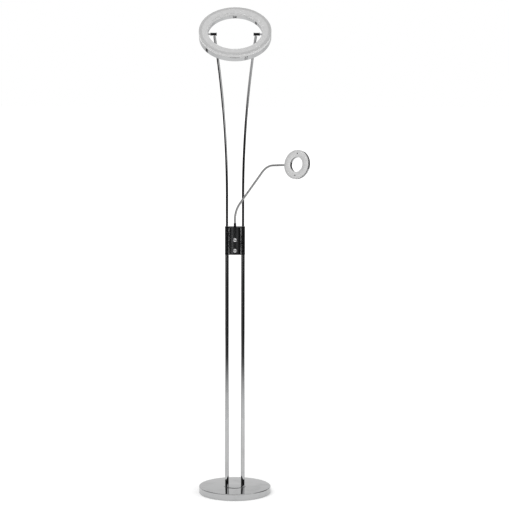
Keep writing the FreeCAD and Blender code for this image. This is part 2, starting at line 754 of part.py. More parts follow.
def make_caps():
    plate = box_outline("bottom_plate", "cap_lip", "box_bottom", "cap_thickness")
    holes = coupler_holes("bottom", "box_bottom", "cap_thickness")
    keep(cut("bottom_cap_cut", plate, *holes), "bottom_cap")
    plate = box_outline("top_plate", "cap_lip", BOX_CEILING, "cap_thickness")
    holes = coupler_holes("top", BOX_CEILING, "cap_thickness")
    radius = "ferrule_tail / 2 + hole_play"
    arm = cylinder("top_arm_hole", radius, "cap_thickness", "0", "-arm_root_forward", BOX_CEILING)
    keep(cut("top_cap_cut", plate, arm, *holes), "top_cap")


BACK_SCREW_HOLE = "back_screw / 2 + fit_gap"


def back_screw_places():
    """Name, x and z of the four screws, in the middle of the frame around the window."""
    x = f"({CAVITY_HALF} - window_margin / 2)"
    low = f"({BOX_FLOOR} + window_margin / 2)"
    high = f"({BOX_CEILING} - window_margin / 2)"
    places = []
    for row, z in (("low", low), ("high", high)):
        for side, sign in (("left", "-"), ("right", "")):
            places.append((f"back_screw_{row}_{side}", f"{sign}{x}", z))
    return places


def make_back_cover():
    level = f"({BOX_FLOOR} + side_gap)"
    rise = "(box_tall - 2 * cap_thickness - 2 * side_gap)"
    wide = f"2 * {CAVITY_HALF}"
    plate = box("back_plate", wide, "back_cover_thickness", rise, f"-{CAVITY_HALF}", FRONT, level)
    holes = []
    screws = []
    for name, x, z in back_screw_places():
        holes.append(cylinder(name + "_hole", BACK_SCREW_HOLE, "back_cover_thickness", x, FRONT, z, "Y"))
        start = f"{CAVITY_BACK} - back_screw_end"
        length = "back_screw_end + box_wall + back_cover_thickness"
        shank = cylinder(name + "_shank", "back_screw / 2", length, x, start, z, "Y")
        seat = f"{FRONT} + back_cover_thickness"
        head = cylinder(name + "_head", "back_screw_head / 2", "back_screw_head_depth", x, seat, z, "Y")
        screws.append(fuse(name, shank, head))
    keep(cut("back_cover_cut", plate, *holes), "back_cover")
    keep(group("back_screw_set", screws), "back_cover_screws")


def make_electronics():
    """Driver behind, circuit board in the middle with the terminal block on its back."""
    back = f"({CAVITY_BACK} - side_gap - driver_depth)"
    half = f"({CAVITY_HALF} - driver_inset)"
    driver = box("driver_block", f"2 * {half}", "driver_depth", "driver_tall", f"-{half}", back, BOX_FLOOR)
    keep(driver, "led_driver")
    half = f"({CAVITY_HALF} - board_inset)"
    rise = f"{BOX_CEILING} - {BOX_FLOOR} - board_floor - board_headroom"
    low = f"{BOX_FLOOR} + board_floor"
    board = box("board_plate", f"2 * {half}", "board_thickness", rise, f"-{half}", f"-{BOARD_FRONT}", low)
    keep(board, "dimmer_board")
    half = f"({CAVITY_HALF} - terminal_inset)"
    low = f"({BOX_FLOOR} + driver_tall + terminal_lift)"
    face = f"(board_thickness - {BOARD_FRONT})"
    block = box("terminal_body", f"2 * {half}", "terminal_depth", "terminal_tall", f"-{half}", face, low)
    drill = f"{low} + terminal_tall - terminal_hole_depth"
    middle = f"{face} + terminal_depth / 2"
    holes = []
    for number in range(4):
        x = f"{number - 1.5} * terminal_pitch"
        name = f"terminal_hole_{number}"
        holes.append(cylinder(name, "terminal_hole / 2", "terminal_tall", x, middle, drill))
    keep(cut("terminal_moulding", block, *holes), "terminal_block")


# Dimmers and knobs

def make_dimmers():
    reach = f"({FRONT} + knob_gap + knob_seat)"
    sink = f"({CAVITY_FRONT} - shaft_sink)"
    bush_length = "2 * box_wall + bush_proud"
    shaft_length = f"{reach} - {sink}"
    drill = "shaft_diameter / 2 + running_gap"
    across = "(bush_diameter + 2 * dimmer_nut_flat)"
    nut_bore = "bush_diameter / 2 + fit_gap"
    nuts = []
    for name, height in KNOB_HEIGHTS:
        back = f"-{CAVITY_FRONT}"
        can = cylinder(f"{name}_can", "dimmer_diameter / 2", "dimmer_depth", "0", back, height, "Y")
        front = f"-{FRONT} - bush_proud"
        bush = cylinder(f"{name}_bush", "bush_diameter / 2", bush_length, "0", front, height, "Y")
        blank = fuse(f"{name}_dimmer_blank", can, bush)
        bore = cylinder(f"{name}_bore", drill, f"{shaft_length} + side_gap", "0", f"-{reach}", height, "Y")
        keep(cut(f"{name}_dimmer", blank, bore), f"dimmer_{name}")
        shaft = cylinder(f"{name}_shaft", "shaft_diameter / 2", shaft_length, "0", f"-{reach}", height, "Y")
        keep(shaft, f"dimmer_shaft_{name}")
        front = f"-{FRONT} - dimmer_nut"
        blank = hexagon(f"{name}_nut_blank", across, "dimmer_nut", "0", front, height, "Y")
        hole = cylinder(f"{name}_nut_hole", nut_bore, "knob_gap", "0", f"-{FRONT} - knob_gap", height, "Y")
        nuts.append(cut(f"{name}_nut", blank, hole))
        keep(make_knob(name, height), f"knob_{name}")
    keep(group("dimmer_nut_set", nuts), "dimmer_nuts")


def make_knob(name, height):
    """Turned knob with a chamfered face, bored for the shaft, with a pointer groove in its face."""
    out = "knob_diameter / 2"
    bore = "shaft_diameter / 2 + fit_gap"
    knob = turned(f"{name}_knob_turning", [
        (bore, "0"),
        (f"{out} - knob_back_edge", "0"),
        (out, "knob_back_edge"),
        (out, "knob_length - knob_edge"),
        (f"{out} - knob_edge", "knob_length"),
        ("0", "knob_length"),
        ("0", "knob_seat + side_gap"),
        (bore, "knob_seat + side_gap"),
    ])
    knob.Placement = FreeCAD.Placement(Vector(), FreeCAD.Rotation(Vector(1, 0, 0), 90))
    bind(knob, Placement__Base__y=f"-{FRONT} - knob_gap", Placement__Base__z=height)
    half = "pointer_width / 2"
    line = box(f"{name}_pointer", "pointer_width", "pointer_depth", out, f"-{half}", "0", "pointer_start")
    groove = group(f"{name}_pointer_turned", [line])
    groove.Placement = FreeCAD.Placement(Vector(), FreeCAD.Rotation(Vector(0, 1, 0), size("knob_rest")))
    bind(groove, Placement__Base__y=f"-{FRONT} - knob_gap - knob_length", Placement__Base__z=height)
    return cut(f"{name}_knob", knob, groove)


# Uplight head, made around its own axis and then tilted about the pivot axis

def on_head(item):
    """Tilt a piece that was made in the head's own frame and lift it to the pivot."""
    item.Placement = FreeCAD.Placement(Vector(), FreeCAD.Rotation(Vector(1, 0, 0), size("head_tilt")))
    return bind(item, Placement__Base__z="pivot_height", Placement__Rotation__Angle="head_tilt")


def make_head_housing():
    """Open channel ring; its bottom rises from the deep outer wall to the shallow inner wall."""
    low = "head_rim - head_inner_depth"
    ring = turned("head_channel", [
        (HEAD_IN, "head_rim"),
        (HEAD_IN, low),
        (HEAD_OUT, HEAD_FLOOR),
        (HEAD_OUT, "head_rim"),
        (f"{HEAD_OUT} - head_wall", "head_rim"),
        (f"{HEAD_OUT} - head_wall", f"{HEAD_FLOOR} + 1.3 * head_wall"),
        (f"{HEAD_IN} + head_wall", f"{low} + 1.1 * head_wall"),
        (f"{HEAD_IN} + head_wall", "head_rim"),
    ])
    round_edges(ring, "head_outer_round", "1.4 * head_wall", [(HEAD_OUT, HEAD_FLOOR)])
    round_edges(ring, "head_inner_round", "0.7 * head_wall", [(HEAD_IN, low)])
    reach = f"({HEAD_IN} + 2 * head_wall)"
    span = f"2 * {reach}"
    pins = cylinder("head_pin_holes", "pivot_thread / 2 + running_gap", span, f"-{reach}", "0", "0", "X")
    hole = "head_screw / 2 + fit_gap"
    screws = cylinder("head_screw_holes", hole, span, "0", f"-{reach}", "head_screw_level", "Y")
    keep(on_head(cut("head_ring", ring, pins, screws)), "head_housing")


def make_head_led_board():
    ring = turned("head_deck_ring", [
        (f"{HEAD_IN} + side_gap", "head_rim"),
        (f"{HEAD_OUT} - side_gap", "head_rim"),
        (f"{HEAD_OUT} - side_gap", LENS_BASE),
        (f"{HEAD_IN} + side_gap", LENS_BASE),
    ])
    keep(on_head(ring), "head_led_board")


def led_ring(name, middle, count, length, width, thickness, level, first_turn):
    """LEDs as separate blocks on a circle; first_turn is the angle of the first one."""
    owner = body(name)
    profile = sketch(owner, name + "_profile", "XY_Plane", level)
    near = f"({middle} - {width} / 2)"
    far = f"({middle} + {width} / 2)"
    draw_outline(profile, [
        (near, f"-{length} / 2"),
        (far, f"-{length} / 2"),
        (far, f"{length} / 2"),
        (near, f"{length} / 2"),
    ])
    pad = owner.newObject("PartDesign::Pad", name + "_pad")
    pad.Profile = profile
    bind(pad, Length=thickness)
    pattern = owner.newObject("PartDesign::PolarPattern", name + "_pattern")
    pattern.Originals = [pad]
    pattern.Axis = (profile, ["N_Axis"])
    pattern.Angle = 360
    bind(pattern, Occurrences=count)
    owner.Tip = pattern
    owner.Placement = FreeCAD.Placement(Vector(), FreeCAD.Rotation(Vector(0, 0, 1), first_turn))
    return owner


def make_head_leds():
    half_step = 180 / size("head_led_count")
    sizes = ("head_led_count", "head_led_length", "head_led_width", "head_led_thickness")
    leds = led_ring("head_led_ring", HEAD_MIDDLE, *sizes, LENS_BASE, half_step)
    keep(on_head(group("head_led_set", [leds])), "head_leds")


def clear_ring(name, outer, inner, low, high, groove_half, groove):
    """Clear ring with a groove over the LEDs in its underside."""
    middle = f"({outer} + {inner}) / 2"
    return turned(name, [
        (inner, low),
        (f"{middle} - {groove_half}", low),
        (f"{middle} - {groove_half}", f"{low} + {groove}"),
        (f"{middle} + {groove_half}", f"{low} + {groove}"),
        (f"{middle} + {groove_half}", low),
        (outer, low),
        (outer, high),
        (inner, high),
    ])


def make_head_lens():
    grooves = ("lens_groove_half", "lens_groove")
    ring = clear_ring("head_lens_ring", HEAD_OUT, HEAD_IN, LENS_BASE, LENS_TOP, *grooves)
    round_edges(ring, "head_lens_round", "lens_edge", [(HEAD_OUT, LENS_TOP), (HEAD_IN, LENS_TOP)])
    keep(on_head(ring), "head_lens")


def make_head_screws():
    """Two small black screws in the inner wall, at the far and the near side of the ring."""
    head = "head_screw_head / 2"
    shank = "head_screw / 2"
    screws = []
    for side, sign in (("far", 1), ("near", -1)):
        screw = turned(f"head_screw_{side}", [
            ("0", "-fit_gap - 0.3 * head_screw"),
            (f"0.75 * {head}", "-fit_gap - 0.3 * head_screw"),
            (head, "-fit_gap - 0.1 * head_screw"),
            (head, "-fit_gap"),
            (shank, "-fit_gap"),
            (shank, "2 * head_wall"),
            ("0", "2 * head_wall"),
        ])
        turn = FreeCAD.Rotation(Vector(1, 0, 0), -90 * sign)
        screw.Placement = FreeCAD.Placement(Vector(0, sign * size(HEAD_IN), size("head_screw_level")), turn)
        bind(screw, Placement__Base__y=f"{sign} * {HEAD_IN}", Placement__Base__z="head_screw_level")
        screws.append(screw)
    keep(on_head(group("head_screw_set", screws)), "head_screws")


def make_seam_plate():
    """Thin curved plate over the joint of the housing's outer band, at the near side."""
    low = f"{HEAD_FLOOR} + seam_plate_foot"
    high = "head_rim - seam_plate_inset"
    plate = turned("seam_plate_strip", [
        (f"{HEAD_OUT} + fit_gap", high),
        (f"{HEAD_OUT} + fit_gap", low),
        (f"{HEAD_OUT} + seam_plate_thickness", low),
        (f"{HEAD_OUT} + seam_plate_thickness", high),
    ], "seam_plate_angle")
    plate.Placement = FreeCAD.Placement(Vector(), FreeCAD.Rotation(Vector(0, 0, 1), -90))
    keep(on_head(group("seam_plate_turned", [plate])), "head_seam_plate")


def facing(item, sign, x="0", tilted=False):
    """Lay a solid made along Z on the pivot axis, pointing away from the middle of the lamp."""
    turn = FreeCAD.Rotation(Vector(0, 1, 0), 90 * sign)
    if tilted:
        turn = FreeCAD.Rotation(Vector(1, 0, 0), size("head_tilt")).multiply(turn)
    item.Placement = FreeCAD.Placement(Vector(), turn)
    bind(item, Placement__Base__z="pivot_height")
    return item if x == "0" else bind(item, Placement__Base__x=f"{sign} * {x}")


def make_knuckles():
    """Black spools on the pole tops; each has a bore for the pivot pin and a seat for the plug."""
    flare = "(knuckle_radius + knuckle_flare)"
    slope = "(flare_length + flare_slope)"
    for side, sign in (("left", -1), ("right", 1)):
        spool = turned(f"knuckle_spool_{side}", [
            ("0", "0"),
            (f"{flare} - knuckle_edge", "0"),
            (flare, "knuckle_edge"),
            (flare, "flare_length"),
            ("knuckle_radius", slope),
            ("knuckle_radius", f"knuckle_length - {slope}"),
            (flare, "knuckle_length - flare_length"),
            (flare, "knuckle_length - knuckle_edge"),
            (f"{flare} - knuckle_edge", "knuckle_length"),
            ("0", "knuckle_length"),
        ])
        facing(spool, sign, KNUCKLE_INNER)
        depth = "(pivot_pin_sink + side_gap)"
        bore = cylinder(f"knuckle_bore_{side}", "pivot_pin_diameter / 2 + running_gap", depth)
        facing(bore, sign, f"({KNUCKLE_OUTER} - {depth})")
        deep = f"knuckle_radius + {KNUCKLE_DROP} + side_gap"
        seat = cylinder(f"knuckle_seat_{side}", "plug_neck / 2 + fit_gap", deep)
        along_bow(seat, sign)
        keep(cut(f"knuckle_{side}_turning", spool, bore, seat), f"knuckle_{side}")


def make_pivot_fasteners():
    """Pins that turn in the knuckles, each with a washer and a nut inside the ring's channel."""
    washer_start = f"({KNUCKLE_OUTER} + side_gap)"
    shoulder = f"({washer_start} + pivot_washer)"
    nut_start = f"({HEAD_IN} + head_wall + 2 * fit_gap)"
    end = f"({nut_start} + pivot_nut + side_gap)"
    pin = "pivot_pin_diameter / 2"
    thread = "pivot_thread / 2"
    washers = []
    nuts = []
    for side, sign in (("left", -1), ("right", 1)):
        turning = turned(f"pivot_pin_turning_{side}", [
            ("0", f"{KNUCKLE_OUTER} - pivot_pin_sink"),
            (pin, f"{KNUCKLE_OUTER} - pivot_pin_sink"),
            (pin, shoulder),
            ("pivot_collar / 2", shoulder),
            ("pivot_collar / 2", f"{HEAD_IN} - 2 * fit_gap"),
            (thread, f"{HEAD_IN} - 2 * fit_gap"),
            (thread, end),
            ("0", end),
        ])
        keep(facing(turning, sign), f"pivot_pin_{side}")
        hole = f"{pin} + fit_gap"
        rim = "pivot_washer_diameter / 2"
        washer = tube(f"pivot_washer_{side}", rim, hole, "pivot_washer", z=washer_start)
        washers.append(facing(washer, sign))
        blank = hexagon(f"pivot_nut_blank_{side}", "pivot_nut_across", "pivot_nut", z=nut_start)
        bore = cylinder(f"pivot_nut_bore_{side}", f"{thread} + fit_gap", f"2 * {end}")
        nuts.append(facing(cut(f"pivot_nut_{side}", blank, bore), sign, tilted=True))
    keep(group("pivot_washer_pair", washers), "pivot_washers")
    keep(group("pivot_nut_pair", nuts), "pivot_nuts")


# Reading arm: one route of straight runs joined by tangent arcs, cut into links at its joints

def arm_route():
    """The route's runs and arcs as (kind, start, end, centre) and the direction of its last run."""
    root = Vector(0, -size("arm_root_forward"), size(f"{BOX_TOP} + ferrule_length - ferrule_sink"))
    elbow = Vector(0, root.y, size(f"{BOX_TOP} + arm_elbow_rise"))
    upper = Vector(size("arm_reach"), -size("arm_forward"), size(f"{BOX_TOP} + arm_rise"))
    turn = math.radians(size("tip_turn"))
    reach = size("tip_length")
    tip = upper + Vector(reach * math.cos(turn), -reach * math.sin(turn), size("tip_climb"))
    corners = [(elbow, size("lower_bend_radius")), (upper, size("upper_bend_radius"))]
    pieces = []
    start = root
    for index, (corner, radius) in enumerate(corners):
        before = (corner - start).normalize()
        after = ((upper if index == 0 else tip) - corner).normalize()
        half = before.getAngle(after) / 2
        setback = radius * math.tan(half)
        enter = corner - before * setback
        leave = corner + after * setback
        inward = (after - before).normalize()
        centre = corner + inward * (radius / math.cos(half))
        pieces.append(("run", start, enter, None))
        pieces.append(("arc", enter, leave, centre))
        start = leave
    pieces.append(("run", start, tip, None))
    return pieces, (tip - start).normalize()


ROUTE, TIP_DIRECTION = arm_route()
LOWER_RUN, LOWER_ARC, MIDDLE_RUN, UPPER_ARC, TIP_RUN = ROUTE


def run_point(run, reach):
    """Point of a straight run, reach beyond its start, or before its end if reach is negative."""
    kind, start, end, centre = run
    direction = (end - start).normalize()
    if reach < 0:
        return end + direction * reach
    return start + direction * reach


SWAY = run_point(LOWER_RUN, -size("sway_setback"))
NOD = run_point(MIDDLE_RUN, size("nod_offset"))
ELBOW = run_point(MIDDLE_RUN, size("elbow_offset"))
WRIST = run_point(TIP_RUN, size("wrist_offset"))
READING_CENTRE = TIP_RUN[2] + TIP_DIRECTION * size(READING_OUT)


def arm_link(name, stretches, ball, socket):
    """Tube along stretches of the route; it ends in a ball, and starts with a socket around one."""
    radius = size("arm_diameter / 2")
    bore = size("arm_bore / 2")
    edges = []
    for kind, start, end, centre in stretches:
        if kind == "run":
            edges.append(Part.LineSegment(start, end).toShape())
            continue
        towards = ((start + end) * 0.5 - centre).normalize()
        middle = centre + towards * (start - centre).Length
        edges.append(Part.Arc(start, middle, end).toShape())
    wire = Part.Wire(edges)
    first = stretches[0]
    last = stretches[-1]
    begin_direction = (first[2] - first[1]).normalize()
    end_direction = (last[2] - last[1]).normalize()
    solid = sweep(wire, first[1], begin_direction, radius)
    hole = sweep(wire, first[1], begin_direction, bore)
    if ball:
        knob_radius = radius - size("arm_play")
        solid = solid.fuse(Part.makeSphere(knob_radius, last[2]))
        hole = hole.fuse(Part.makeCylinder(bore, 2 * radius, last[2] - end_direction * 0.1, end_direction))
    solid = solid.cut(hole)
    if socket:
        solid = solid.cut(Part.makeSphere(radius, first[1]))
        clear = radius * math.tan(math.radians(size("arm_swing")))
        behind = first[1] - begin_direction * 2 * radius
        solid = solid.cut(Part.makeCylinder(2 * radius, 2 * radius + clear, behind, begin_direction))
    item = doc.addObject("Part::Feature", name)
    item.Shape = solid
    return item


def sweep(wire, start, direction, radius):
    profile = Part.Wire(Part.Circle(start, direction, radius).toShape())
    return wire.makePipeShell([profile], True, True)


def make_arm_links():
    tip_end = TIP_RUN[2] - TIP_DIRECTION * size("side_gap")
    lower_bend = [("run", SWAY, LOWER_RUN[2], None), LOWER_ARC, ("run", MIDDLE_RUN[1], NOD, None)]
    upper_bend = [("run", ELBOW, MIDDLE_RUN[2], None), UPPER_ARC, ("run", TIP_RUN[1], WRIST, None)]
    links = (
        ("arm_link_1", [("run", LOWER_RUN[1], SWAY, None)], True, False),
        ("arm_link_2", lower_bend, True, True),
        ("arm_link_3", [("run", NOD, ELBOW, None)], True, True),
        ("arm_link_4", upper_bend, True, True),
        ("arm_link_5", [("run", WRIST, tip_end, None)], False, True),
    )
    for node, stretches, ball, socket in links:
        link = arm_link(node + "_tube", stretches, ball, socket)
        if node == "arm_link_5":
            depth = size("swivel_pin_sink + 2 * side_gap")
            radius = size("swivel_pin_diameter / 2 + fit_gap")
            seat = Part.makeCylinder(radius, depth, tip_end - TIP_DIRECTION * depth, TIP_DIRECTION)
            link.Shape = link.Shape.cut(seat)
        keep(link, node)


def make_arm_root():
    """Black ferrule on the box with its threaded tail, and the lock nut under the top cap."""
    arm = "(arm_diameter / 2 + fit_gap)"
    collar = f"({arm} + ferrule_wall)"
    waist = f"({collar} - 0.6 * ferrule_wall)"
    tail = "ferrule_tail / 2"
    tail_end = "-cap_thickness - ferrule_tail_end"
    sink = "ferrule_length - ferrule_sink"
    ferrule = turned("ferrule_turning", [
        ("arm_bore / 2", tail_end),
        (tail, tail_end),
        (tail, "0"),
        (collar, "0"),
        (collar, "0.27 * ferrule_length"),
        (waist, "0.32 * ferrule_length"),
        (waist, "0.62 * ferrule_length"),
        (collar, "0.68 * ferrule_length"),
        (collar, "0.97 * ferrule_length"),
        (f"{collar} - 0.3 * ferrule_wall", "ferrule_length"),
        (arm, "ferrule_length"),
        (arm, sink),
        ("arm_bore / 2", sink),
    ])
    keep(place(ferrule, "0", "-arm_root_forward", BOX_TOP), "arm_ferrule")
    level = f"({BOX_CEILING} - arm_nut)"
    across = "(ferrule_tail + 2 * arm_nut_flat)"
    blank = hexagon("arm_nut_blank", across, "arm_nut", "0", "-arm_root_forward", level)
    hole = cylinder("arm_nut_hole", f"{tail} + fit_gap", "2 * arm_nut", "0", "-arm_root_forward", level)
    keep(cut("arm_nut_turning", blank, hole), "arm_nut")


# Reading head, made around its own axis with +X pointing away from the arm

def reading_placement():
    side = TIP_DIRECTION
    level_normal = Vector(side.y, -side.x, 0).normalize()
    roll = FreeCAD.Rotation(side, -size("reading_roll"))
    normal = roll.multVec(level_normal)
    across = normal.cross(side)
    turn = FreeCAD.Rotation(side, across, normal, "XYZ")
    return FreeCAD.Placement(READING_CENTRE, turn)


def on_reading_head(item, local=None):
    """Put a piece of the reading head's own frame at the arm's end."""
    place_there = reading_placement()
    item.Placement = place_there.multiply(local) if local else place_there
    return item


def make_reading_housing():
    low = "-reading_depth / 2"
    wall = "reading_wall"
    floor = f"{low} + reading_floor"
    ring = turned("reading_channel", [
        (READING_IN, READING_RIM),
        (READING_IN, low),
        (READING_OUT, low),
        (READING_OUT, READING_RIM),
        (f"{READING_OUT} - {wall}", READING_RIM),
        (f"{READING_OUT} - {wall}", floor),
        (f"{READING_IN} + {wall}", floor),
        (f"{READING_IN} + {wall}", READING_RIM),
    ])
    round_edges(ring, "reading_outer_round", "0.7 * reading_wall", [(READING_OUT, low)])
    drill = "swivel_pin_diameter / 2 + running_gap"
    start = f"-{READING_OUT} - reading_wall"
    hole = cylinder("reading_pin_hole", drill, "3 * reading_wall", start, "0", "0", "X")
    keep(on_reading_head(cut("reading_ring", ring, hole)), "reading_housing")


def make_reading_board():
    ring = turned("reading_board_ring", [
        (f"{READING_IN} + hole_play", READING_RIM),
        (f"{READING_OUT} - hole_play", READING_RIM),
        (f"{READING_OUT} - hole_play", READING_JOINT),
        (f"{READING_IN} + hole_play", READING_JOINT),
    ])
    low = f"{READING_RIM} - reading_deck / 2"
    holes = reading_drills("reading_board", READING_SCREW_HOLE, "2 * reading_deck", low)
    keep(on_reading_head(cut("reading_board", ring, *holes)), "reading_led_board")
    first = size("reading_screw_angle") + 180 / size("reading_led_count")
    sizes = ("reading_led_count", "reading_led_size", "reading_led_size", "reading_led_thickness")
    leds = led_ring("reading_led_ring", READING_MIDDLE, *sizes, READING_JOINT, first)
    keep(on_reading_head(group("reading_led_set", [leds])), "reading_leds")


READING_SCREW_HOLE = "reading_screw / 2 + fit_gap"


def reading_drills(prefix, radius, length, level):
    """Upright cylinders where the two screws go through the ring."""
    drills = []
    for name, turn in (("upper", "reading_screw_angle"), ("lower", "(reading_screw_angle + 180)")):
        x = f"{READING_MIDDLE} * cos({turn})"
        y = f"{READING_MIDDLE} * sin({turn})"
        drills.append(cylinder(f"{prefix}_{name}", radius, length, x, y, level))
    return drills


def make_reading_lens():
    grooves = ("reading_groove_half", "reading_groove")
    ring = clear_ring("reading_lens_ring", READING_OUT, READING_IN, READING_JOINT, READING_FACE, *grooves)
    edges = [(READING_OUT, READING_FACE), (READING_IN, READING_FACE)]
    round_edges(ring, "reading_lens_round", "reading_edge", edges)
    seat = f"{READING_FACE} - reading_screw_sink"
    holes = reading_drills("reading_lens_hole", READING_SCREW_HOLE, "2 * reading_lens", READING_RIM)
    holes += reading_drills("reading_lens_seat", "reading_screw_head / 2 + fit_gap", "reading_lens", seat)
    keep(on_reading_head(cut("reading_lens_cut", ring, *holes)), "reading_lens")


def make_reading_screws():
    seat = f"({READING_FACE} - reading_screw_sink)"
    low = f"({READING_RIM} - 2 * reading_deck)"
    shanks = reading_drills("reading_screw_shank", "reading_screw / 2", f"{seat} - {low}", low)
    heads = reading_drills("reading_screw_head", "reading_screw_head / 2", "reading_screw_head_depth", seat)
    screws = []
    for number, (shank, head) in enumerate(zip(shanks, heads)):
        screws.append(fuse(f"reading_screw_{number}", shank, head))
    keep(on_reading_head(group("reading_screw_set", screws)), "reading_screws")


def make_swivel_pin():
    """Pin in the arm's end with a round collar inside the head's channel; the head turns on it."""
    collar = f"(side_gap + reading_wall - {READING_OUT})"
    pin = turned("swivel_pin_turning", [
        ("swivel_pin_bore / 2", f"-{READING_OUT} - swivel_pin_sink"),
        ("swivel_pin_diameter / 2", f"-{READING_OUT} - swivel_pin_sink"),
        ("swivel_pin_diameter / 2", collar),
        ("swivel_collar / 2", collar),
        ("swivel_collar / 2", f"{collar} + swivel_collar_depth"),
        ("swivel_pin_bore / 2", f"{collar} + swivel_collar_depth"),
    ])
    along = FreeCAD.Placement(Vector(), FreeCAD.Rotation(Vector(0, 1, 0), 90))
    keep(on_reading_head(pin, along), "swivel_pin")


make_base_pad()
make_base_weight()
make_base_cover()
make_cord_gland()
make_foot_plate()
make_foot_fasteners()
make_lower_poles()
make_couplers()
make_upper_poles()
make_pole_plugs()
make_control_housing()
make_caps()
make_back_cover()
make_electronics()
make_dimmers()
make_head_housing()
make_head_led_board()
make_head_leds()
make_head_lens()
make_head_screws()
make_seam_plate()
make_knuckles()
make_pivot_fasteners()
make_arm_root()
make_arm_links()
make_swivel_pin()
make_reading_housing()
make_reading_board()
make_reading_lens()
make_reading_screws()
doc.recompute()


# Check every object and write the sub-parts

for item in doc.Objects:
    if "Invalid" in item.State or "Error" in item.State:
        raise RuntimeError(f"{item.Name} failed: {item.State}")
for item in PARTS:
    if item.Shape.isNull() or not item.Shape.isValid() or not item.Shape.Solids:
        raise RuntimeError(f"{item.Label} has no valid solid")

os.makedirs("parts", exist_ok=True)
for item in PARTS:
    item.Shape.exportStep(os.path.join("parts", item.Label + ".step"))

JOINTS = {"sway": SWAY, "nod": NOD, "elbow": ELBOW, "wrist": WRIST, "reading": READING_CENTRE}
for name, point in JOINTS.items():
    print(name, [round(number, 3) for number in point])
print("tip direction", [round(number, 5) for number in TIP_DIRECTION])
print(len(PARTS), "sub-parts")
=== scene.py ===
import math

import bmesh
import bpy
import numpy as np
from mathutils import Matrix, Vector


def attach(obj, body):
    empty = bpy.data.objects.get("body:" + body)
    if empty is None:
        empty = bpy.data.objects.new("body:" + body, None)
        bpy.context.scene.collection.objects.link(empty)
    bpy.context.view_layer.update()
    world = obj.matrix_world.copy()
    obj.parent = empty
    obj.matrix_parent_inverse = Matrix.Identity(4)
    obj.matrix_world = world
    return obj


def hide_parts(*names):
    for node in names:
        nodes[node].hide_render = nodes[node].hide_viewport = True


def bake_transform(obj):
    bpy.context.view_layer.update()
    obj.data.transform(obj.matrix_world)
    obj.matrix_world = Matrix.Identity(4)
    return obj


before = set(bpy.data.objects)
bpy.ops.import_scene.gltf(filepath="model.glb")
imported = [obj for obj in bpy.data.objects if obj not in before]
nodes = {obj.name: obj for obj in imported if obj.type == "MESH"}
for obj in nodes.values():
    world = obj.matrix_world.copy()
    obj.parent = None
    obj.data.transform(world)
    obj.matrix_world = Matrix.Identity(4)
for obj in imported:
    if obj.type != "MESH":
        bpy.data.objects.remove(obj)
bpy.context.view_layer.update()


# Base, underside and ballast.
# A cast iron disc under the chrome cover makes the lamp stand; it rests on a black foam pad.
# Washers and nuts in two recesses pull the poles' nipples down against it.

def add(tree, kind, settings=None, **inputs):
    """Shader node of a kind; inputs are values or the sockets that feed them, in_0 the first."""
    node = tree.nodes.new(kind)
    for name, value in (settings or {}).items():
        setattr(node, name, value)
    for name, value in inputs.items():
        key = int(name[3:]) if name.startswith("in_") else name.replace("_", " ")
        socket = node.inputs[key]
        if isinstance(value, bpy.types.NodeSocket):
            tree.links.new(value, socket)
        else:
            socket.default_value = value
    return node


def new_group(name, floats):
    """Node group with a Vector, the named numbers, and its own input and output nodes."""
    tree = bpy.data.node_groups.new(name, "ShaderNodeTree")
    tree.interface.new_socket("Vector", in_out="INPUT", socket_type="NodeSocketVector")
    for label, number in floats.items():
        socket = tree.interface.new_socket(label, in_out="INPUT", socket_type="NodeSocketFloat")
        socket.default_value = number
    return tree, tree.nodes.new("NodeGroupInput")


def group_outputs(tree, **sockets):
    """Close a node group with named outputs, each a number."""
    for label in sockets:
        tree.interface.new_socket(label, in_out="OUTPUT", socket_type="NodeSocketFloat")
    end = tree.nodes.new("NodeGroupOutput")
    for label, socket in sockets.items():
        tree.links.new(socket, end.inputs[label])
    return tree


def ramp(tree, value, low, high, start=0.0, end=1.0):
    """Smooth rise from start to end while value goes from low to high."""
    settings = {"interpolation_type": "SMOOTHSTEP"}
    node = add(tree, "ShaderNodeMapRange", settings, Value=value, From_Min=low, From_Max=high,
               To_Min=start, To_Max=end)
    return node.outputs["Result"]


def product(tree, first, second):
    """first * second."""
    node = add(tree, "ShaderNodeMath", {"operation": "MULTIPLY"}, in_0=first, in_1=second)
    return node.outputs[0]


def either(tree, first, second):
    """The larger of two masks."""
    node = add(tree, "ShaderNodeMath", {"operation": "MAXIMUM"}, in_0=first, in_1=second)
    return node.outputs[0]


def make_handling_marks():
    """Smudges, fine scratches in two directions and specks of dust, as masks from 0 to 1."""
    tree, start = new_group("handling_marks", {"Smudge Scale": 18.0, "Scratch Scale": 90.0})
    vector = start.outputs["Vector"]
    cloud = add(tree, "ShaderNodeTexNoise", Vector=vector, Scale=start.outputs["Smudge Scale"],
                Detail=4.0, Roughness=0.55, Distortion=0.6)
    smudge = ramp(tree, cloud.outputs["Fac"], 0.48, 0.72)
    lines = []
    for turn, stretch in ((0.35, (1.0, 14.0, 1.0)), (1.9, (12.0, 1.0, 1.0))):
        turned_vector = add(tree, "ShaderNodeMapping", Vector=vector, Rotation=(turn, 0.2, turn),
                            Scale=stretch)
        thread = add(tree, "ShaderNodeTexNoise", Vector=turned_vector.outputs["Vector"],
                     Scale=start.outputs["Scratch Scale"], Detail=2.0, Roughness=0.5)
        lines.append(ramp(tree, thread.outputs["Fac"], 0.66, 0.74))
    dots = add(tree, "ShaderNodeTexVoronoi", Vector=vector, Scale=start.outputs["Scratch Scale"])
    speck = ramp(tree, dots.outputs["Distance"], 0.10, 0.05)
    thin = add(tree, "ShaderNodeTexNoise", Vector=vector, Scale=40.0)
    speck = product(tree, speck, ramp(tree, thin.outputs["Fac"], 0.55, 0.65))
    return group_outputs(tree, Smudge=smudge, Scratch=either(tree, *lines), Speck=speck)


HANDLING_MARKS = make_handling_marks()


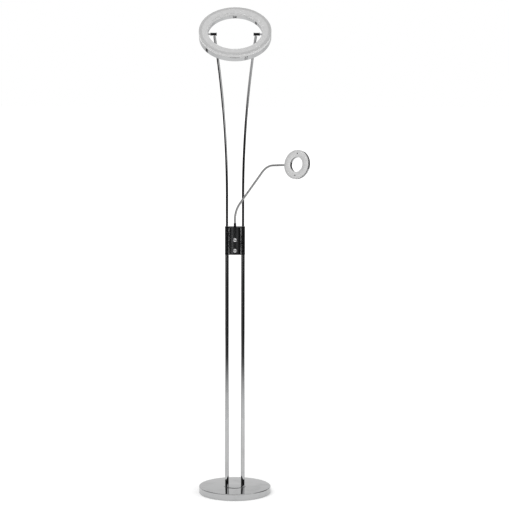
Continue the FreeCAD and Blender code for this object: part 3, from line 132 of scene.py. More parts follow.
def new_finish(name, place=None, turn=(0.0, 0.0, 0.0)):
    """Material with a Principled BSDF, and the vector that its patterns follow. With a place, the
    vector is measured from there along axes turned by turn."""
    material = bpy.data.materials.new(name)
    material.use_nodes = True
    tree = material.node_tree
    surface = tree.nodes["Principled BSDF"]
    vector = add(tree, "ShaderNodeTexCoord").outputs["Object"]
    if place:
        own = add(tree, "ShaderNodeMapping", {"vector_type": "TEXTURE"}, Vector=vector,
                  Location=place, Rotation=turn)
        vector = own.outputs["Vector"]
    return material, tree, surface, vector


def marks_on(tree, vector, smudge=18.0, scratch=90.0):
    """The handling marks' masks for one material."""
    node = add(tree, "ShaderNodeGroup", {"node_tree": HANDLING_MARKS})
    tree.links.new(vector, node.inputs["Vector"])
    node.inputs["Smudge Scale"].default_value = smudge
    node.inputs["Scratch Scale"].default_value = scratch
    return node.outputs


def blend_colours(tree, mask, first, second):
    """first where the mask is 0, second where it is 1."""
    node = add(tree, "ShaderNodeMix", {"data_type": "RGBA"})
    tree.links.new(mask, node.inputs["Factor"])
    for socket, colour in ((node.inputs[6], first), (node.inputs[7], second)):
        if isinstance(colour, bpy.types.NodeSocket):
            tree.links.new(colour, socket)
        else:
            socket.default_value = (*colour, 1.0)
    return node.outputs[2]


def emboss(tree, surface, height, strength, distance):
    """Bump a surface by a height from 0 to 1; distance is that height in metres."""
    bump = add(tree, "ShaderNodeBump", Strength=strength, Distance=distance, Height=height)
    tree.links.new(bump.outputs["Normal"], surface.inputs["Normal"])


def weighted(tree, first, second, share):
    """first + share * second."""
    node = add(tree, "ShaderNodeMath", {"operation": "MULTIPLY_ADD"}, in_0=second, in_1=share,
               in_2=first)
    return node.outputs[0]


def make_cast_iron():
    """Sand-cast iron under black primer: coarse grain with bare metal on its high spots."""
    material, tree, surface, vector = new_finish("cast_iron")
    sand = add(tree, "ShaderNodeTexNoise", Vector=vector, Scale=700.0, Detail=5.0, Roughness=0.7)
    lumps = add(tree, "ShaderNodeTexNoise", Vector=vector, Scale=60.0, Detail=3.0)
    bare = ramp(tree, sand.outputs["Fac"], 0.60, 0.72)
    colour = blend_colours(tree, bare, (0.020, 0.021, 0.022), (0.10, 0.10, 0.10))
    tree.links.new(colour, surface.inputs["Base Color"])
    tree.links.new(ramp(tree, bare, 0.0, 1.0, 0.75, 0.5), surface.inputs["Roughness"])
    emboss(tree, surface, weighted(tree, sand.outputs["Fac"], lumps.outputs["Fac"], 2.0), 0.7, 0.0004)
    surface.inputs["Metallic"].default_value = 0.3
    return material


def make_foam():
    """Closed-cell foam: matt black with small open cells."""
    material, tree, surface, vector = new_finish("foam")
    cells = add(tree, "ShaderNodeTexVoronoi", {"feature": "DISTANCE_TO_EDGE"}, Vector=vector, Scale=900.0)
    rim = ramp(tree, cells.outputs["Distance"], 0.02, 0.16)
    tree.links.new(blend_colours(tree, rim, (0.05, 0.05, 0.05), (0.012, 0.012, 0.013)),
                   surface.inputs["Base Color"])
    tree.links.new(ramp(tree, rim, 0.0, 1.0, 0.85, 0.98), surface.inputs["Roughness"])
    emboss(tree, surface, rim, 0.8, 0.0003)
    return material


def make_steel():
    """Zinc-plated steel of the hidden turned parts: dull, with turning marks and grey bloom."""
    material, tree, surface, vector = new_finish("steel")
    marks = marks_on(tree, vector, smudge=120.0, scratch=500.0)
    bands = add(tree, "ShaderNodeTexWave", {"bands_direction": "Z"}, Vector=vector, Scale=900.0,
                Distortion=1.5, Detail=2.0)
    colour = blend_colours(tree, marks["Smudge"], (0.52, 0.52, 0.53), (0.38, 0.38, 0.38))
    tree.links.new(colour, surface.inputs["Base Color"])
    tree.links.new(ramp(tree, marks["Smudge"], 0.0, 1.0, 0.28, 0.5), surface.inputs["Roughness"])
    emboss(tree, surface, weighted(tree, marks["Scratch"], bands.outputs["Fac"], 0.6), 0.25, 0.0001)
    surface.inputs["Metallic"].default_value = 1.0
    return material


def refinish(material, *names):
    """Give CAD nodes a finish through their material slots."""
    for name in names:
        for slot in nodes[name].material_slots:
            slot.material = material


STEEL = make_steel()
refinish(make_cast_iron(), "base_weight")
refinish(make_foam(), "base_pad")
refinish(STEEL, "foot_nipples", "foot_nuts", "foot_washers", "foot_inserts")


# Base cover and foot plate.
# Spun steel cover, chrome plated, with a rounded upper edge and a rolled lower rim.
# The thin foot plate lies on it under the two poles.

BASE_RADIUS = 0.134
BASE_TOP = 0.025
BASE_RIM = 0.0012
COVER_WALL = 0.0015
COVER_EDGE = 0.0026
RIM_ROLL = 0.0012
RIM_HEIGHT = 0.0018
RIM_TAPER = 0.0006
RIM_EDGE = 0.0004
PLATE_RADIUS = 0.042
PLATE_TOP = 0.0265
PLATE_EDGE = 0.0004
CHROME_COLOUR = (0.50, 0.503, 0.507)


def rounded(corners, steps=6):
    """Closed outline through corners (x, y, radius): each corner becomes an arc that is tangent
    to its two sides, as points centre + radius * (a mix of the two end directions)."""
    corners = np.array(corners, float)
    points, radii = corners[:, :2], np.maximum(corners[:, 2:], 1e-6)
    back = np.roll(points, 1, axis=0) - points
    ahead = np.roll(points, -1, axis=0) - points
    back /= np.linalg.norm(back, axis=1, keepdims=True)
    ahead /= np.linalg.norm(ahead, axis=1, keepdims=True)
    middle = back + ahead
    middle /= np.linalg.norm(middle, axis=1, keepdims=True)
    half = np.arccos(np.clip((back * middle).sum(1, keepdims=True), -1, 1))
    centres = points + middle * radii / np.sin(half)
    setback = radii / np.tan(half)
    first = (points + back * setback - centres) / radii
    last = (points + ahead * setback - centres) / radii
    turn = (math.pi - 2 * half)[:, None]
    share = np.linspace(0, 1, steps + 1)[None, :, None]
    arcs = np.sin((1 - share) * turn) * first[:, None] + np.sin(share * turn) * last[:, None]
    return (centres[:, None] + radii[:, None] * arcs / np.sin(turn)).reshape(-1, 2)


def revolved(outline, turns):
    """Grid of an outline (radius, level) carried round Z: x = radius * cos, y = radius * sin."""
    angle = np.linspace(0, 2 * math.pi, turns, endpoint=False)
    radius, level = outline[:, :1], outline[:, 1:]
    return np.stack([radius * np.cos(angle), radius * np.sin(angle), level * np.ones_like(angle)],
                    axis=-1)


def skin_mesh(name, grid, round_rows=True, caps=()):
    """Mesh of quads between the points of a grid that closes round its columns, and with
    round_rows round its rows too; caps are whole rows closed by one face each."""
    rows, columns = grid.shape[:2]
    number = np.arange(rows * columns).reshape(rows, columns)
    wide = np.vstack([number, number[:1]]) if round_rows else number
    wide = np.hstack([wide, wide[:, :1]])
    quads = np.stack([wide[:-1, :-1], wide[:-1, 1:], wide[1:, 1:], wide[1:, :-1]], -1)
    faces = quads.reshape(-1, 4).tolist() + [number[row].tolist() for row in caps]
    mesh = bpy.data.meshes.new(name)
    mesh.from_pydata(grid.reshape(-1, 3), [], faces)
    work = bmesh.new()
    work.from_mesh(mesh)
    bmesh.ops.remove_doubles(work, verts=work.verts, dist=2e-6)
    bmesh.ops.dissolve_degenerate(work, edges=work.edges, dist=1e-7)
    bmesh.ops.recalc_face_normals(work, faces=work.faces)
    work.to_mesh(mesh)
    work.free()
    mesh.polygons.foreach_set("use_smooth", np.ones(len(mesh.polygons), bool))
    mesh.set_sharp_from_angle(angle=math.radians(38))
    return mesh


def make_piece(name, mesh, material, body, stands_for=()):
    """Object of a mesh, on its body, with its finish; it stands for the CAD nodes named."""
    piece = bpy.data.objects.new(name, mesh)
    bpy.context.scene.collection.objects.link(piece)
    mesh.materials.append(material)
    if body:
        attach(piece, body)
    if stands_for:
        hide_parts(*stands_for)
    return piece


def make_chrome(name, colour, polish, wear=1.0, spun=False, place=None, turn=(0.0, 0.0, 0.0)):
    """Bright chrome plate: mirror polish with faint smudges, hair scratches and dust, as strong as
    wear says; a spun part also has very fine rings around its own Z."""
    material, tree, surface, vector = new_finish(name, place, turn)
    marks = marks_on(tree, vector)
    dull = tuple(0.86 * part for part in colour)
    tree.links.new(blend_colours(tree, marks["Smudge"], colour, dull), surface.inputs["Base Color"])
    rough = ramp(tree, marks["Smudge"], 0.0, 1.0, polish, polish + 0.06 * wear)
    rough = weighted(tree, rough, marks["Scratch"], 0.08 * wear)
    tree.links.new(weighted(tree, rough, marks["Speck"], 0.2 * wear), surface.inputs["Roughness"])
    height = marks["Scratch"]
    if spun:
        rings = add(tree, "ShaderNodeTexWave", {"wave_type": "RINGS", "rings_direction": "Z"},
                    Vector=vector, Scale=260.0, Distortion=0.4, Detail=1.0)
        height = weighted(tree, height, rings.outputs["Fac"], 0.35)
    emboss(tree, surface, height, 0.06 * wear, 0.00004)
    surface.inputs["Metallic"].default_value = 1.0
    return material


SPUN_CHROME = make_chrome("spun_chrome", CHROME_COLOUR, polish=0.035, wear=0.5, spun=True)
cover_outline = rounded([
    (0.0, BASE_TOP, 0.0),
    (BASE_RADIUS, BASE_TOP, COVER_EDGE),
    (BASE_RADIUS, BASE_RIM + RIM_HEIGHT, RIM_ROLL),
    (BASE_RADIUS - RIM_TAPER, BASE_RIM, RIM_EDGE),
    (BASE_RADIUS - COVER_WALL, BASE_RIM, RIM_EDGE),
    (BASE_RADIUS - COVER_WALL, BASE_TOP - COVER_WALL, COVER_EDGE - COVER_WALL),
    (0.0, BASE_TOP - COVER_WALL, 0.0),
], steps=8)
make_piece("base_cover_spun", skin_mesh("base_cover_spun", revolved(cover_outline, turns=192)),
           SPUN_CHROME, "stand", ["base_cover"])
plate_outline = rounded([
    (0.0, PLATE_TOP, 0.0),
    (PLATE_RADIUS, PLATE_TOP, PLATE_EDGE),
    (PLATE_RADIUS, BASE_TOP, 0.0001),
    (0.0, BASE_TOP, 0.0),
])
make_piece("foot_plate_disc", skin_mesh("foot_plate_disc", revolved(plate_outline, turns=128)),
           SPUN_CHROME, "stand", ["foot_plate"])


# Cord gland.
# Moulded black rubber, pushed through the cover's rear wall from outside. Its bore is where the
# mains lead would leave the base.

def make_rubber():
    """Moulded rubber: matt, with a faint bloom and fine grain."""
    material, tree, surface, vector = new_finish("black_rubber")
    marks = marks_on(tree, vector, smudge=160.0, scratch=700.0)
    grain = add(tree, "ShaderNodeTexNoise", Vector=vector, Scale=2500.0, Detail=2.0)
    tree.links.new(blend_colours(tree, marks["Smudge"], (0.014, 0.014, 0.015), (0.035, 0.035, 0.036)),
                   surface.inputs["Base Color"])
    tree.links.new(ramp(tree, marks["Smudge"], 0.0, 1.0, 0.55, 0.75), surface.inputs["Roughness"])
    emboss(tree, surface, grain.outputs["Fac"], 0.3, 0.00008)
    return material


refinish(make_rubber(), "cord_gland")


# Poles.
# Four chrome-plated steel tubes: two straight below the box and two thinner ones above it,
# which bow outwards to the head. Inserts, couplers and plugs join them from the inside.

def make_sheath():
    """Soft clear-grey sheath of the leads inside the poles."""
    material, tree, surface, vector = new_finish("lead_sheath")
    marks = marks_on(tree, vector, smudge=90.0, scratch=400.0)
    tree.links.new(blend_colours(tree, marks["Smudge"], (0.62, 0.62, 0.62), (0.5, 0.5, 0.5)),
                   surface.inputs["Base Color"])
    tree.links.new(ramp(tree, marks["Scratch"], 0.0, 1.0, 0.4, 0.6), surface.inputs["Roughness"])
    emboss(tree, surface, marks["Smudge"], 0.2, 0.0001)
    return material


POLE_CHROME = make_chrome("pole_chrome", CHROME_COLOUR, polish=0.03, wear=0.12)
pole_surface = POLE_CHROME.node_tree.nodes["Principled BSDF"]
pole_surface.inputs["Specular Tint"].default_value = (0.3, 0.3, 0.3, 1.0)
refinish(POLE_CHROME, "lower_pole_left", "lower_pole_right", "upper_pole_left", "upper_pole_right")
refinish(STEEL, "pole_coupler_left", "pole_coupler_right", "pole_top_inserts", "pole_plugs")
refinish(make_sheath(), "head_lead_left", "head_lead_right")


# Control box.
# Extruded housing in dark chrome, with a round lobe at each pole. A slim bright bead on each
# front corner is a painted highlight of that corner. Thin gloss caps close it above and below, and a
# screwed cover at the back.

BOX_BOTTOM = 0.9
BOX_TOP = 0.997
BEAD_X = 0.0220
BEAD_Y = -0.01778
BEAD_RADIUS = 0.00085
SMOKED_DARK = (0.070, 0.071, 0.073)
SMOKED_LIGHT = (0.161, 0.1633, 0.1679)


def make_smoked_chrome():
    """Dark nickel over upright brushing: long fine lines along Z, with a few handling marks."""
    material, tree, surface, vector = new_finish("smoked_chrome")
    marks = marks_on(tree, vector, smudge=30.0, scratch=200.0)
    tall = add(tree, "ShaderNodeMapping", Vector=vector, Scale=(1.0, 1.0, 0.012))
    hair = add(tree, "ShaderNodeTexNoise", Vector=tall.outputs["Vector"], Scale=1400.0, Detail=3.0,
               Roughness=0.6)
    broad = add(tree, "ShaderNodeTexNoise", Vector=tall.outputs["Vector"], Scale=260.0, Detail=2.0)
    tone = ramp(tree, weighted(tree, hair.outputs["Fac"], broad.outputs["Fac"], 0.8), 0.7, 1.1)
    tree.links.new(blend_colours(tree, tone, SMOKED_DARK, SMOKED_LIGHT), surface.inputs["Base Color"])
    rough = ramp(tree, tone, 0.0, 1.0, 0.11, 0.19)
    tree.links.new(weighted(tree, rough, marks["Scratch"], 0.05), surface.inputs["Roughness"])
    emboss(tree, surface, weighted(tree, hair.outputs["Fac"], marks["Scratch"], 0.2), 0.12, 0.00005)
    surface.inputs["Metallic"].default_value = 1.0
    return material


def make_black_metal(name, polish):
    """Black stove enamel on metal: deep gloss, slight orange peel, greyer where it is rubbed."""
    material, tree, surface, vector = new_finish(name)
    marks = marks_on(tree, vector, smudge=150.0, scratch=600.0)
    peel = add(tree, "ShaderNodeTexNoise", Vector=vector, Scale=1300.0, Detail=1.0)
    tree.links.new(blend_colours(tree, marks["Scratch"], (0.006, 0.006, 0.007), (0.03, 0.03, 0.03)),
                   surface.inputs["Base Color"])
    tree.links.new(ramp(tree, marks["Smudge"], 0.0, 1.0, polish, polish + 0.14),
                   surface.inputs["Roughness"])
    emboss(tree, surface, peel.outputs["Fac"], 0.15, 0.00005)
    surface.inputs["Specular IOR Level"].default_value = 0.2
    return material


def corner_highlight_bead(x):
    """Upright rod of points centre + size * (cos, sin); its size falls to 0.45 of the bead's
    radius over the last 0.8 mm at both ends."""
    inset, share = np.array([0.0, 0.0003, 0.0008]), np.array([0.45, 0.85, 1.0])
    level = np.concatenate([BOX_BOTTOM + inset, BOX_TOP - inset[::-1]])[:, None]
    size = BEAD_RADIUS * np.concatenate([share, share[::-1]])[:, None]
    angle = np.linspace(0, 2 * math.pi, 20, endpoint=False)
    return np.stack([x + size * np.cos(angle), BEAD_Y + size * np.sin(angle),
                     level * np.ones_like(angle)], axis=-1)


BLACK_METAL = make_black_metal("black_metal", 0.16)
BLACK_SCREWS = make_black_metal("black_screws", 0.3)
# Painted highlight: the beads' light satin chrome stands in for the light that the box's rounded front
# corners reflect.
CORNER_HIGHLIGHT_CHROME = make_chrome("painted_highlight_chrome", (0.90, 0.90, 0.905), polish=0.34, wear=0.3)
refinish(make_smoked_chrome(), "control_housing")
refinish(BLACK_METAL, "top_cap", "bottom_cap", "back_cover")
refinish(BLACK_SCREWS, "back_cover_screws")
for side, label in ((-1, "left"), (1, "right")):
    bead = skin_mesh(f"box_edge_highlight_{label}", corner_highlight_bead(side * BEAD_X), round_rows=False, caps=(0, -1))
    make_piece(f"box_edge_highlight_{label}", bead, CORNER_HIGHLIGHT_CHROME, "stand")


# Inside the control box.
# White plastic driver and terminal block, the circuit board, and two rotary dimmers.

def make_white_plastic():
    """Moulded white plastic: satin, with a faint mould grain and yellowing."""
    material, tree, surface, vector = new_finish("white_plastic")
    marks = marks_on(tree, vector, smudge=60.0, scratch=300.0)
    grain = add(tree, "ShaderNodeTexNoise", Vector=vector, Scale=1800.0, Detail=2.0)
    tree.links.new(blend_colours(tree, marks["Smudge"], (0.78, 0.78, 0.76), (0.70, 0.69, 0.66)),
                   surface.inputs["Base Color"])
    tree.links.new(ramp(tree, grain.outputs["Fac"], 0.3, 0.7, 0.38, 0.5), surface.inputs["Roughness"])
    emboss(tree, surface, grain.outputs["Fac"], 0.15, 0.00006)
    return material


def make_circuit_board():
    """Green solder resist with a square net of traces and small round pads."""
    material, tree, surface, vector = new_finish("circuit_board")
    net = add(tree, "ShaderNodeTexBrick", {"offset": 0.35}, Vector=vector, Scale=260.0,
              Mortar_Size=0.06, Color1=(1, 1, 1, 1), Color2=(1, 1, 1, 1), Mortar=(0, 0, 0, 1))
    pads = add(tree, "ShaderNodeTexVoronoi", Vector=vector, Scale=300.0)
    pad = ramp(tree, pads.outputs["Distance"], 0.16, 0.12)
    green = blend_colours(tree, net.outputs["Fac"], (0.012, 0.10, 0.045), (0.03, 0.17, 0.08))
    tree.links.new(blend_colours(tree, pad, green, (0.6, 0.58, 0.52)), surface.inputs["Base Color"])
    tree.links.new(ramp(tree, pad, 0.0, 1.0, 0.35, 0.25), surface.inputs["Roughness"])
    emboss(tree, surface, weighted(tree, net.outputs["Fac"], pad, 1.0), 0.3, 0.00005)
    return material


refinish(make_white_plastic(), "led_driver", "terminal_block")
refinish(make_circuit_board(), "dimmer_board")
refinish(STEEL, "dimmer_upper", "dimmer_lower", "dimmer_shaft_upper", "dimmer_shaft_lower",
         "dimmer_nuts", "arm_nut")


# Dimmer knobs.
# Turned from solid and plated, with a knurled grip and a gently domed satin face.
# A narrow groove in the face is the pointer; at rest it points down to the left.

KNOB_RADIUS = 0.0065
KNOB_BACK = -0.023
KNOB_FACE = -0.034
KNOB_DOME = 0.021
KNOB_HEIGHTS = {"upper": 0.953, "lower": 0.9135}
KNURLS = 44
KNURL_DEPTH = 0.00017
POINTER_ANGLE = math.radians(-145)
POINTER_START = 0.0015
POINTER_WIDTH = 0.0004
POINTER_DEPTH = 0.0004


def knob_grid(height):
    """Grid round the Y axis of profile rows (radius, y). The face is a dome, y = face + dome -
    sqrt(dome^2 - radius^2). The grip's rows are pushed in by depth * (1 - cos(knurls * angle)) / 2
    and the pointer's points by depth * exp(-(distance across it / width)^4)."""
    def dome(radius):
        """The face's y at a radius."""
        return KNOB_FACE + KNOB_DOME - np.sqrt(KNOB_DOME ** 2 - radius ** 2)

    rim = dome(0.0055)
    grip = np.linspace(KNOB_BACK - 0.0009, rim + 0.0012, 9)
    face = np.linspace(0.0054, 0.0, 22)
    profile = np.vstack([
        [(0.0018, KNOB_BACK), (0.0059, KNOB_BACK), (0.0063, KNOB_BACK - 0.0003)],
        np.column_stack([np.full_like(grip, KNOB_RADIUS), grip]),
        [(0.0063, rim + 0.0006), (0.0059, rim + 0.0002)],
        np.column_stack([face, dome(face)]),
    ])
    angle = np.linspace(0, 2 * math.pi, 4 * KNURLS, endpoint=False)
    radius = profile[:, :1] * np.ones_like(angle)
    gripped = profile[:, :1] == KNOB_RADIUS
    radius = radius - gripped * KNURL_DEPTH * (1 - np.cos(KNURLS * angle)) / 2
    x, z = radius * np.sin(angle), radius * np.cos(angle)
    y = profile[:, 1:] * np.ones_like(angle)
    along = x * math.sin(POINTER_ANGLE) + z * math.cos(POINTER_ANGLE)
    across = x * math.cos(POINTER_ANGLE) - z * math.sin(POINTER_ANGLE)
    groove = np.exp(-(across / POINTER_WIDTH) ** 4) * (along > POINTER_START) * (y < rim + 0.0003)
    return np.stack([x, y + POINTER_DEPTH * groove, z + height], axis=-1)


def make_knob_metal():
    """Satin nickel of the knobs: soft wear, a fine grain and hair scratches."""
    material, tree, surface, vector = new_finish("knob_metal", (0.0, 0.0, 0.0), (math.pi / 2, 0.0, 0.0))
    marks = marks_on(tree, vector, smudge=140.0, scratch=600.0)
    tree.links.new(blend_colours(tree, marks["Smudge"], (0.95, 0.95, 0.955), (0.82, 0.82, 0.825)),
                   surface.inputs["Base Color"])
    tree.links.new(ramp(tree, marks["Smudge"], 0.0, 1.0, 0.28, 0.38), surface.inputs["Roughness"])
    grain = add(tree, "ShaderNodeTexNoise", Vector=vector, Scale=3000.0, Detail=2.0)
    emboss(tree, surface, weighted(tree, grain.outputs["Fac"], marks["Scratch"], 0.6), 0.12, 0.00004)
    surface.inputs["Metallic"].default_value = 1.0
    return material


KNOB_METAL = make_knob_metal()
for label, height in KNOB_HEIGHTS.items():
    make_piece(f"knob_{label}_knurled",
               skin_mesh(f"knob_{label}_knurled", knob_grid(height), round_rows=False, caps=(0,)),
               KNOB_METAL, f"{label}_knob", [f"knob_{label}"])


# Reading arm.
# Flexible steel arm with a fine wound skin, held in a black ferrule on the box. The skin is cut
# between the joints into four lengths, one over each joint.

ARM_RADIUS = 0.0041
ARM_CORNERS = [(0.0, -0.010, 1.005), (0.0, -0.010, 1.060), (0.1165, -0.025, 1.226),
               (0.18324, -0.07349, 1.2316)]
ARM_BENDS = [0.104, 0.054]
WINDING = 0.0016
WINDING_DEPTH = 0.00026
ROWS_PER_WINDING = 7
SKIN_COLUMNS = 26
ARC_STEPS = 240


def bent_route(corners, radii):
    """Points of a route through corners: each inner corner is an arc tangent to both its sides."""
    corners = np.array(corners, float)
    points = [corners[:1]]
    for before, corner, after, radius in zip(corners, corners[1:], corners[2:], radii):
        back = (before - corner) / np.linalg.norm(before - corner)
        ahead = (after - corner) / np.linalg.norm(after - corner)
        middle = (back + ahead) / np.linalg.norm(back + ahead)
        half = math.acos(back @ middle)
        centre = corner + middle * radius / math.sin(half)
        first = (corner + back * radius / math.tan(half) - centre) / radius
        last = (corner + ahead * radius / math.tan(half) - centre) / radius
        turn = math.pi - 2 * half
        share = np.linspace(0, 1, ARC_STEPS)[:, None]
        arc = np.sin((1 - share) * turn) * first + np.sin(share * turn) * last
        points.append(centre + radius * arc / math.sin(turn))
    return np.vstack([*points, corners[-1:]])


ROUTE = bent_route(ARM_CORNERS, ARM_BENDS)
TRAVEL = np.concatenate([[0.0], np.cumsum(np.linalg.norm(np.diff(ROUTE, axis=0), axis=1))])


def on_route(travel):
    """Points of the arm's middle line at distances from its root."""
    return np.stack([np.interp(travel, TRAVEL, ROUTE[:, axis]) for axis in range(3)], axis=-1)


def wound_skin(start, end):
    """Grid round the route: radius = arm radius - depth * (1 - cos(2 pi travel / winding - angle)) / 2,
    so that the groove climbs one winding per turn."""
    travel = np.linspace(start, end, int((end - start) / WINDING * ROWS_PER_WINDING))
    ahead = on_route(travel + WINDING / 4) - on_route(travel - WINDING / 4)
    ahead /= np.linalg.norm(ahead, axis=1, keepdims=True)
    side = np.cross(ahead, (0.0, -1.0, 0.0))
    side /= np.linalg.norm(side, axis=1, keepdims=True)
    up = np.cross(side, ahead)
    angle = np.linspace(0, 2 * math.pi, SKIN_COLUMNS, endpoint=False)
    wave = (1 - np.cos(2 * math.pi * travel[:, None] / WINDING - angle)) / 2
    radius = (ARM_RADIUS - WINDING_DEPTH * wave)[..., None]
    around = side[:, None] * np.cos(angle)[None, :, None] + up[:, None] * np.sin(angle)[None, :, None]
    return on_route(travel)[:, None] + radius * around


def make_flex_steel():
    """Satin-chromed winding, duller where hands bend it."""
    material, tree, surface, vector = new_finish("flex_steel")
    marks = marks_on(tree, vector, smudge=60.0, scratch=260.0)
    tree.links.new(blend_colours(tree, marks["Smudge"], (0.47, 0.47, 0.47), (0.40, 0.40, 0.40)),
                   surface.inputs["Base Color"])
    tree.links.new(ramp(tree, marks["Smudge"], 0.0, 1.0, 0.33, 0.42), surface.inputs["Roughness"])
    emboss(tree, surface, marks["Scratch"], 0.1, 0.00005)
    surface.inputs["Metallic"].default_value = 1.0
    return material


# Each skin's joint, as a distance from the arm's root, the reach of its bend to both sides, the
# bodies before and after it, and the links that the skin stands for.
ARM_SKINS = {
    "root": (0.01593, 0.008, "stand", "arm_lower", ["arm_link_1", "arm_link_2"]),
    "rise": (0.09397, 0.022, "arm_lower", "arm_middle", ["arm_link_3"]),
    "bend": (0.19397, 0.022, "arm_middle", "arm_upper", ["arm_link_4"]),
    "tip": (0.29028, 0.022, "arm_upper", "arm_tip", ["arm_link_5"]),
}
SKIN_CUTS = [0.0, 0.05495, 0.14397, 0.2421, TRAVEL[-1]]
FLEX_STEEL = make_flex_steel()
for label, start, end in zip(ARM_SKINS, SKIN_CUTS, SKIN_CUTS[1:]):
    joint, reach, body_before, body_after, links = ARM_SKINS[label]
    winding = skin_mesh(f"arm_skin_{label}", wound_skin(start, end), round_rows=False, caps=(0, -1))
    skin = make_piece(f"arm_skin_{label}", winding, FLEX_STEEL, None, links)
    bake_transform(skin)
refinish(BLACK_METAL, "arm_ferrule")
refinish(STEEL, "swivel_pin")


# Uplight head.
# Chrome channel ring, with a white board ring of LEDs under a clear acrylic ring. It tilts on
# two pins in the black knuckles at the upper poles' ends.

def make_acrylic(name, place, turn, start, steps, grain, painted_side_shade=None):
    """Cast acrylic over the white board, with painted shade and light in its colour. Its painted tone is
    start at the middle and changes by each step (radius, radius, change) on the way out; a painted side
    shade (radius, amount) adds amount * (x / distance) * (distance - radius), so one side of the ring is
    lighter and the other darker. Between soft clouds and fine bubbles it falls to the share grain."""
    material, tree, surface, vector = new_finish(name, place, turn)
    flat = add(tree, "ShaderNodeVectorMath", {"operation": "MULTIPLY"}, in_0=vector,
               in_1=(1.0, 1.0, 0.0))
    radius = add(tree, "ShaderNodeVectorMath", {"operation": "LENGTH"}, in_0=flat.outputs["Vector"])
    # Painted shade and light: the tone built below steps from ring to ring and is not the acrylic's own
    # colour.
    tone = start
    for low, high, change in steps:
        part = ramp(tree, radius.outputs["Value"], low, high)
        tone = weighted(tree, tone, part, change)
    # Painted side light: the ring's outer half is lighter where it faces +x and darker where it faces -x,
    # and its inner half the other way round.
    if painted_side_shade:
        middle, amount = painted_side_shade
        across = add(tree, "ShaderNodeSeparateXYZ", Vector=vector).outputs["X"]
        towards = add(tree, "ShaderNodeMath", {"operation": "DIVIDE"}, in_0=across,
                      in_1=radius.outputs["Value"])
        outside = add(tree, "ShaderNodeMath", {"operation": "SUBTRACT"},
                      in_0=radius.outputs["Value"], in_1=middle)
        side = product(tree, towards.outputs[0], outside.outputs[0])
        tone = weighted(tree, tone, side, amount)
    cloud = add(tree, "ShaderNodeTexNoise", Vector=vector, Scale=90.0, Detail=4.0, Roughness=0.6)
    bubbles = add(tree, "ShaderNodeTexVoronoi", Vector=vector, Scale=380.0)
    bubble = ramp(tree, bubbles.outputs["Distance"], 0.34, 0.16)
    body = ramp(tree, weighted(tree, cloud.outputs["Fac"], bubble, 0.3), 0.35, 0.8, grain, 1.0)
    shade = add(tree, "ShaderNodeMath", {"operation": "MULTIPLY", "use_clamp": True}, in_0=tone,
                in_1=body)
    tree.links.new(shade.outputs[0], surface.inputs["Base Color"])
    tree.links.new(ramp(tree, bubble, 0.0, 1.0, 0.16, 0.26), surface.inputs["Roughness"])
    emboss(tree, surface, bubble, 0.05, 0.00005)
    surface.inputs["IOR"].default_value = 1.49
    surface.inputs["Transmission Weight"].default_value = 0.2
    return material


def make_led_board():
    """White solder resist of a metal-backed board."""
    material, tree, surface, vector = new_finish("led_board")
    marks = marks_on(tree, vector, smudge=90.0, scratch=400.0)
    tree.links.new(blend_colours(tree, marks["Smudge"], (0.80, 0.80, 0.79), (0.72, 0.72, 0.71)),
                   surface.inputs["Base Color"])
    tree.links.new(ramp(tree, marks["Smudge"], 0.0, 1.0, 0.4, 0.55), surface.inputs["Roughness"])
    emboss(tree, surface, marks["Speck"], 0.2, 0.00005)
    return material


def make_led():
    """Pale yellow phosphor of an unlit LED."""
    material, tree, surface, vector = new_finish("led")
    grain = add(tree, "ShaderNodeTexNoise", Vector=vector, Scale=2200.0, Detail=3.0)
    tree.links.new(blend_colours(tree, grain.outputs["Fac"], (0.78, 0.72, 0.42), (0.88, 0.84, 0.60)),
                   surface.inputs["Base Color"])
    tree.links.new(ramp(tree, grain.outputs["Fac"], 0.3, 0.7, 0.3, 0.5), surface.inputs["Roughness"])
    emboss(tree, surface, grain.outputs["Fac"], 0.2, 0.00005)
    return material


HEAD_PLACE = (0.0, 0.0, 1.702)
HEAD_TURN = (math.radians(41), 0.0, 0.0)
LED_BOARD = make_led_board()
LED = make_led()
HEAD_METAL = make_chrome("head_metal", (0.54, 0.543, 0.547), polish=0.05, wear=0.5, spun=True,
                         place=HEAD_PLACE, turn=HEAD_TURN)
refinish(HEAD_METAL, "head_housing", "head_seam_plate")
# Painted shade on the head's lens: its face steps down to a darker band towards the outer edge, where the
# channel's wall would shade it; the thin rims inside 0.099 m and outside 0.1317 m stay light.
HEAD_PAINTED_TONES = [(0.09904, 0.0993, -0.32), (0.1185, 0.1225, -0.12), (0.1314, 0.13172, 0.46)]
HEAD_ACRYLIC = make_acrylic("head_acrylic", HEAD_PLACE, HEAD_TURN, start=0.96, steps=HEAD_PAINTED_TONES,
                            grain=0.93)
refinish(HEAD_ACRYLIC, "head_lens")
refinish(LED_BOARD, "head_led_board")
refinish(LED, "head_leds")
refinish(BLACK_SCREWS, "head_screws")
refinish(BLACK_METAL, "knuckle_left", "knuckle_right")
refinish(STEEL, "pivot_pin_left", "pivot_pin_right", "pivot_washers", "pivot_nuts")


# Reading head.
# Small ring on the arm's tip: metal housing, white LED board, clear ring in front, two screws.
# It stands out from the arm in line with its last run, and its face tips up a little.

READING_RADIUS = 0.053
READING_ROLL = math.radians(10.5)

tip = (Vector(ARM_CORNERS[-1]) - Vector(ARM_CORNERS[-2])).normalized()
level_face = Vector((tip.y, -tip.x, 0.0)).normalized()
face = Matrix.Rotation(-READING_ROLL, 3, tip) @ level_face
READING_PLACE = tuple(Vector(ARM_CORNERS[-1]) + READING_RADIUS * tip)
READING_TURN = tuple(Matrix((tip, face.cross(tip), face)).transposed().to_euler())
READING_METAL = make_chrome("reading_metal", CHROME_COLOUR, polish=0.03, wear=0.3, spun=True,
                            place=READING_PLACE, turn=READING_TURN)
refinish(READING_METAL, "reading_housing")
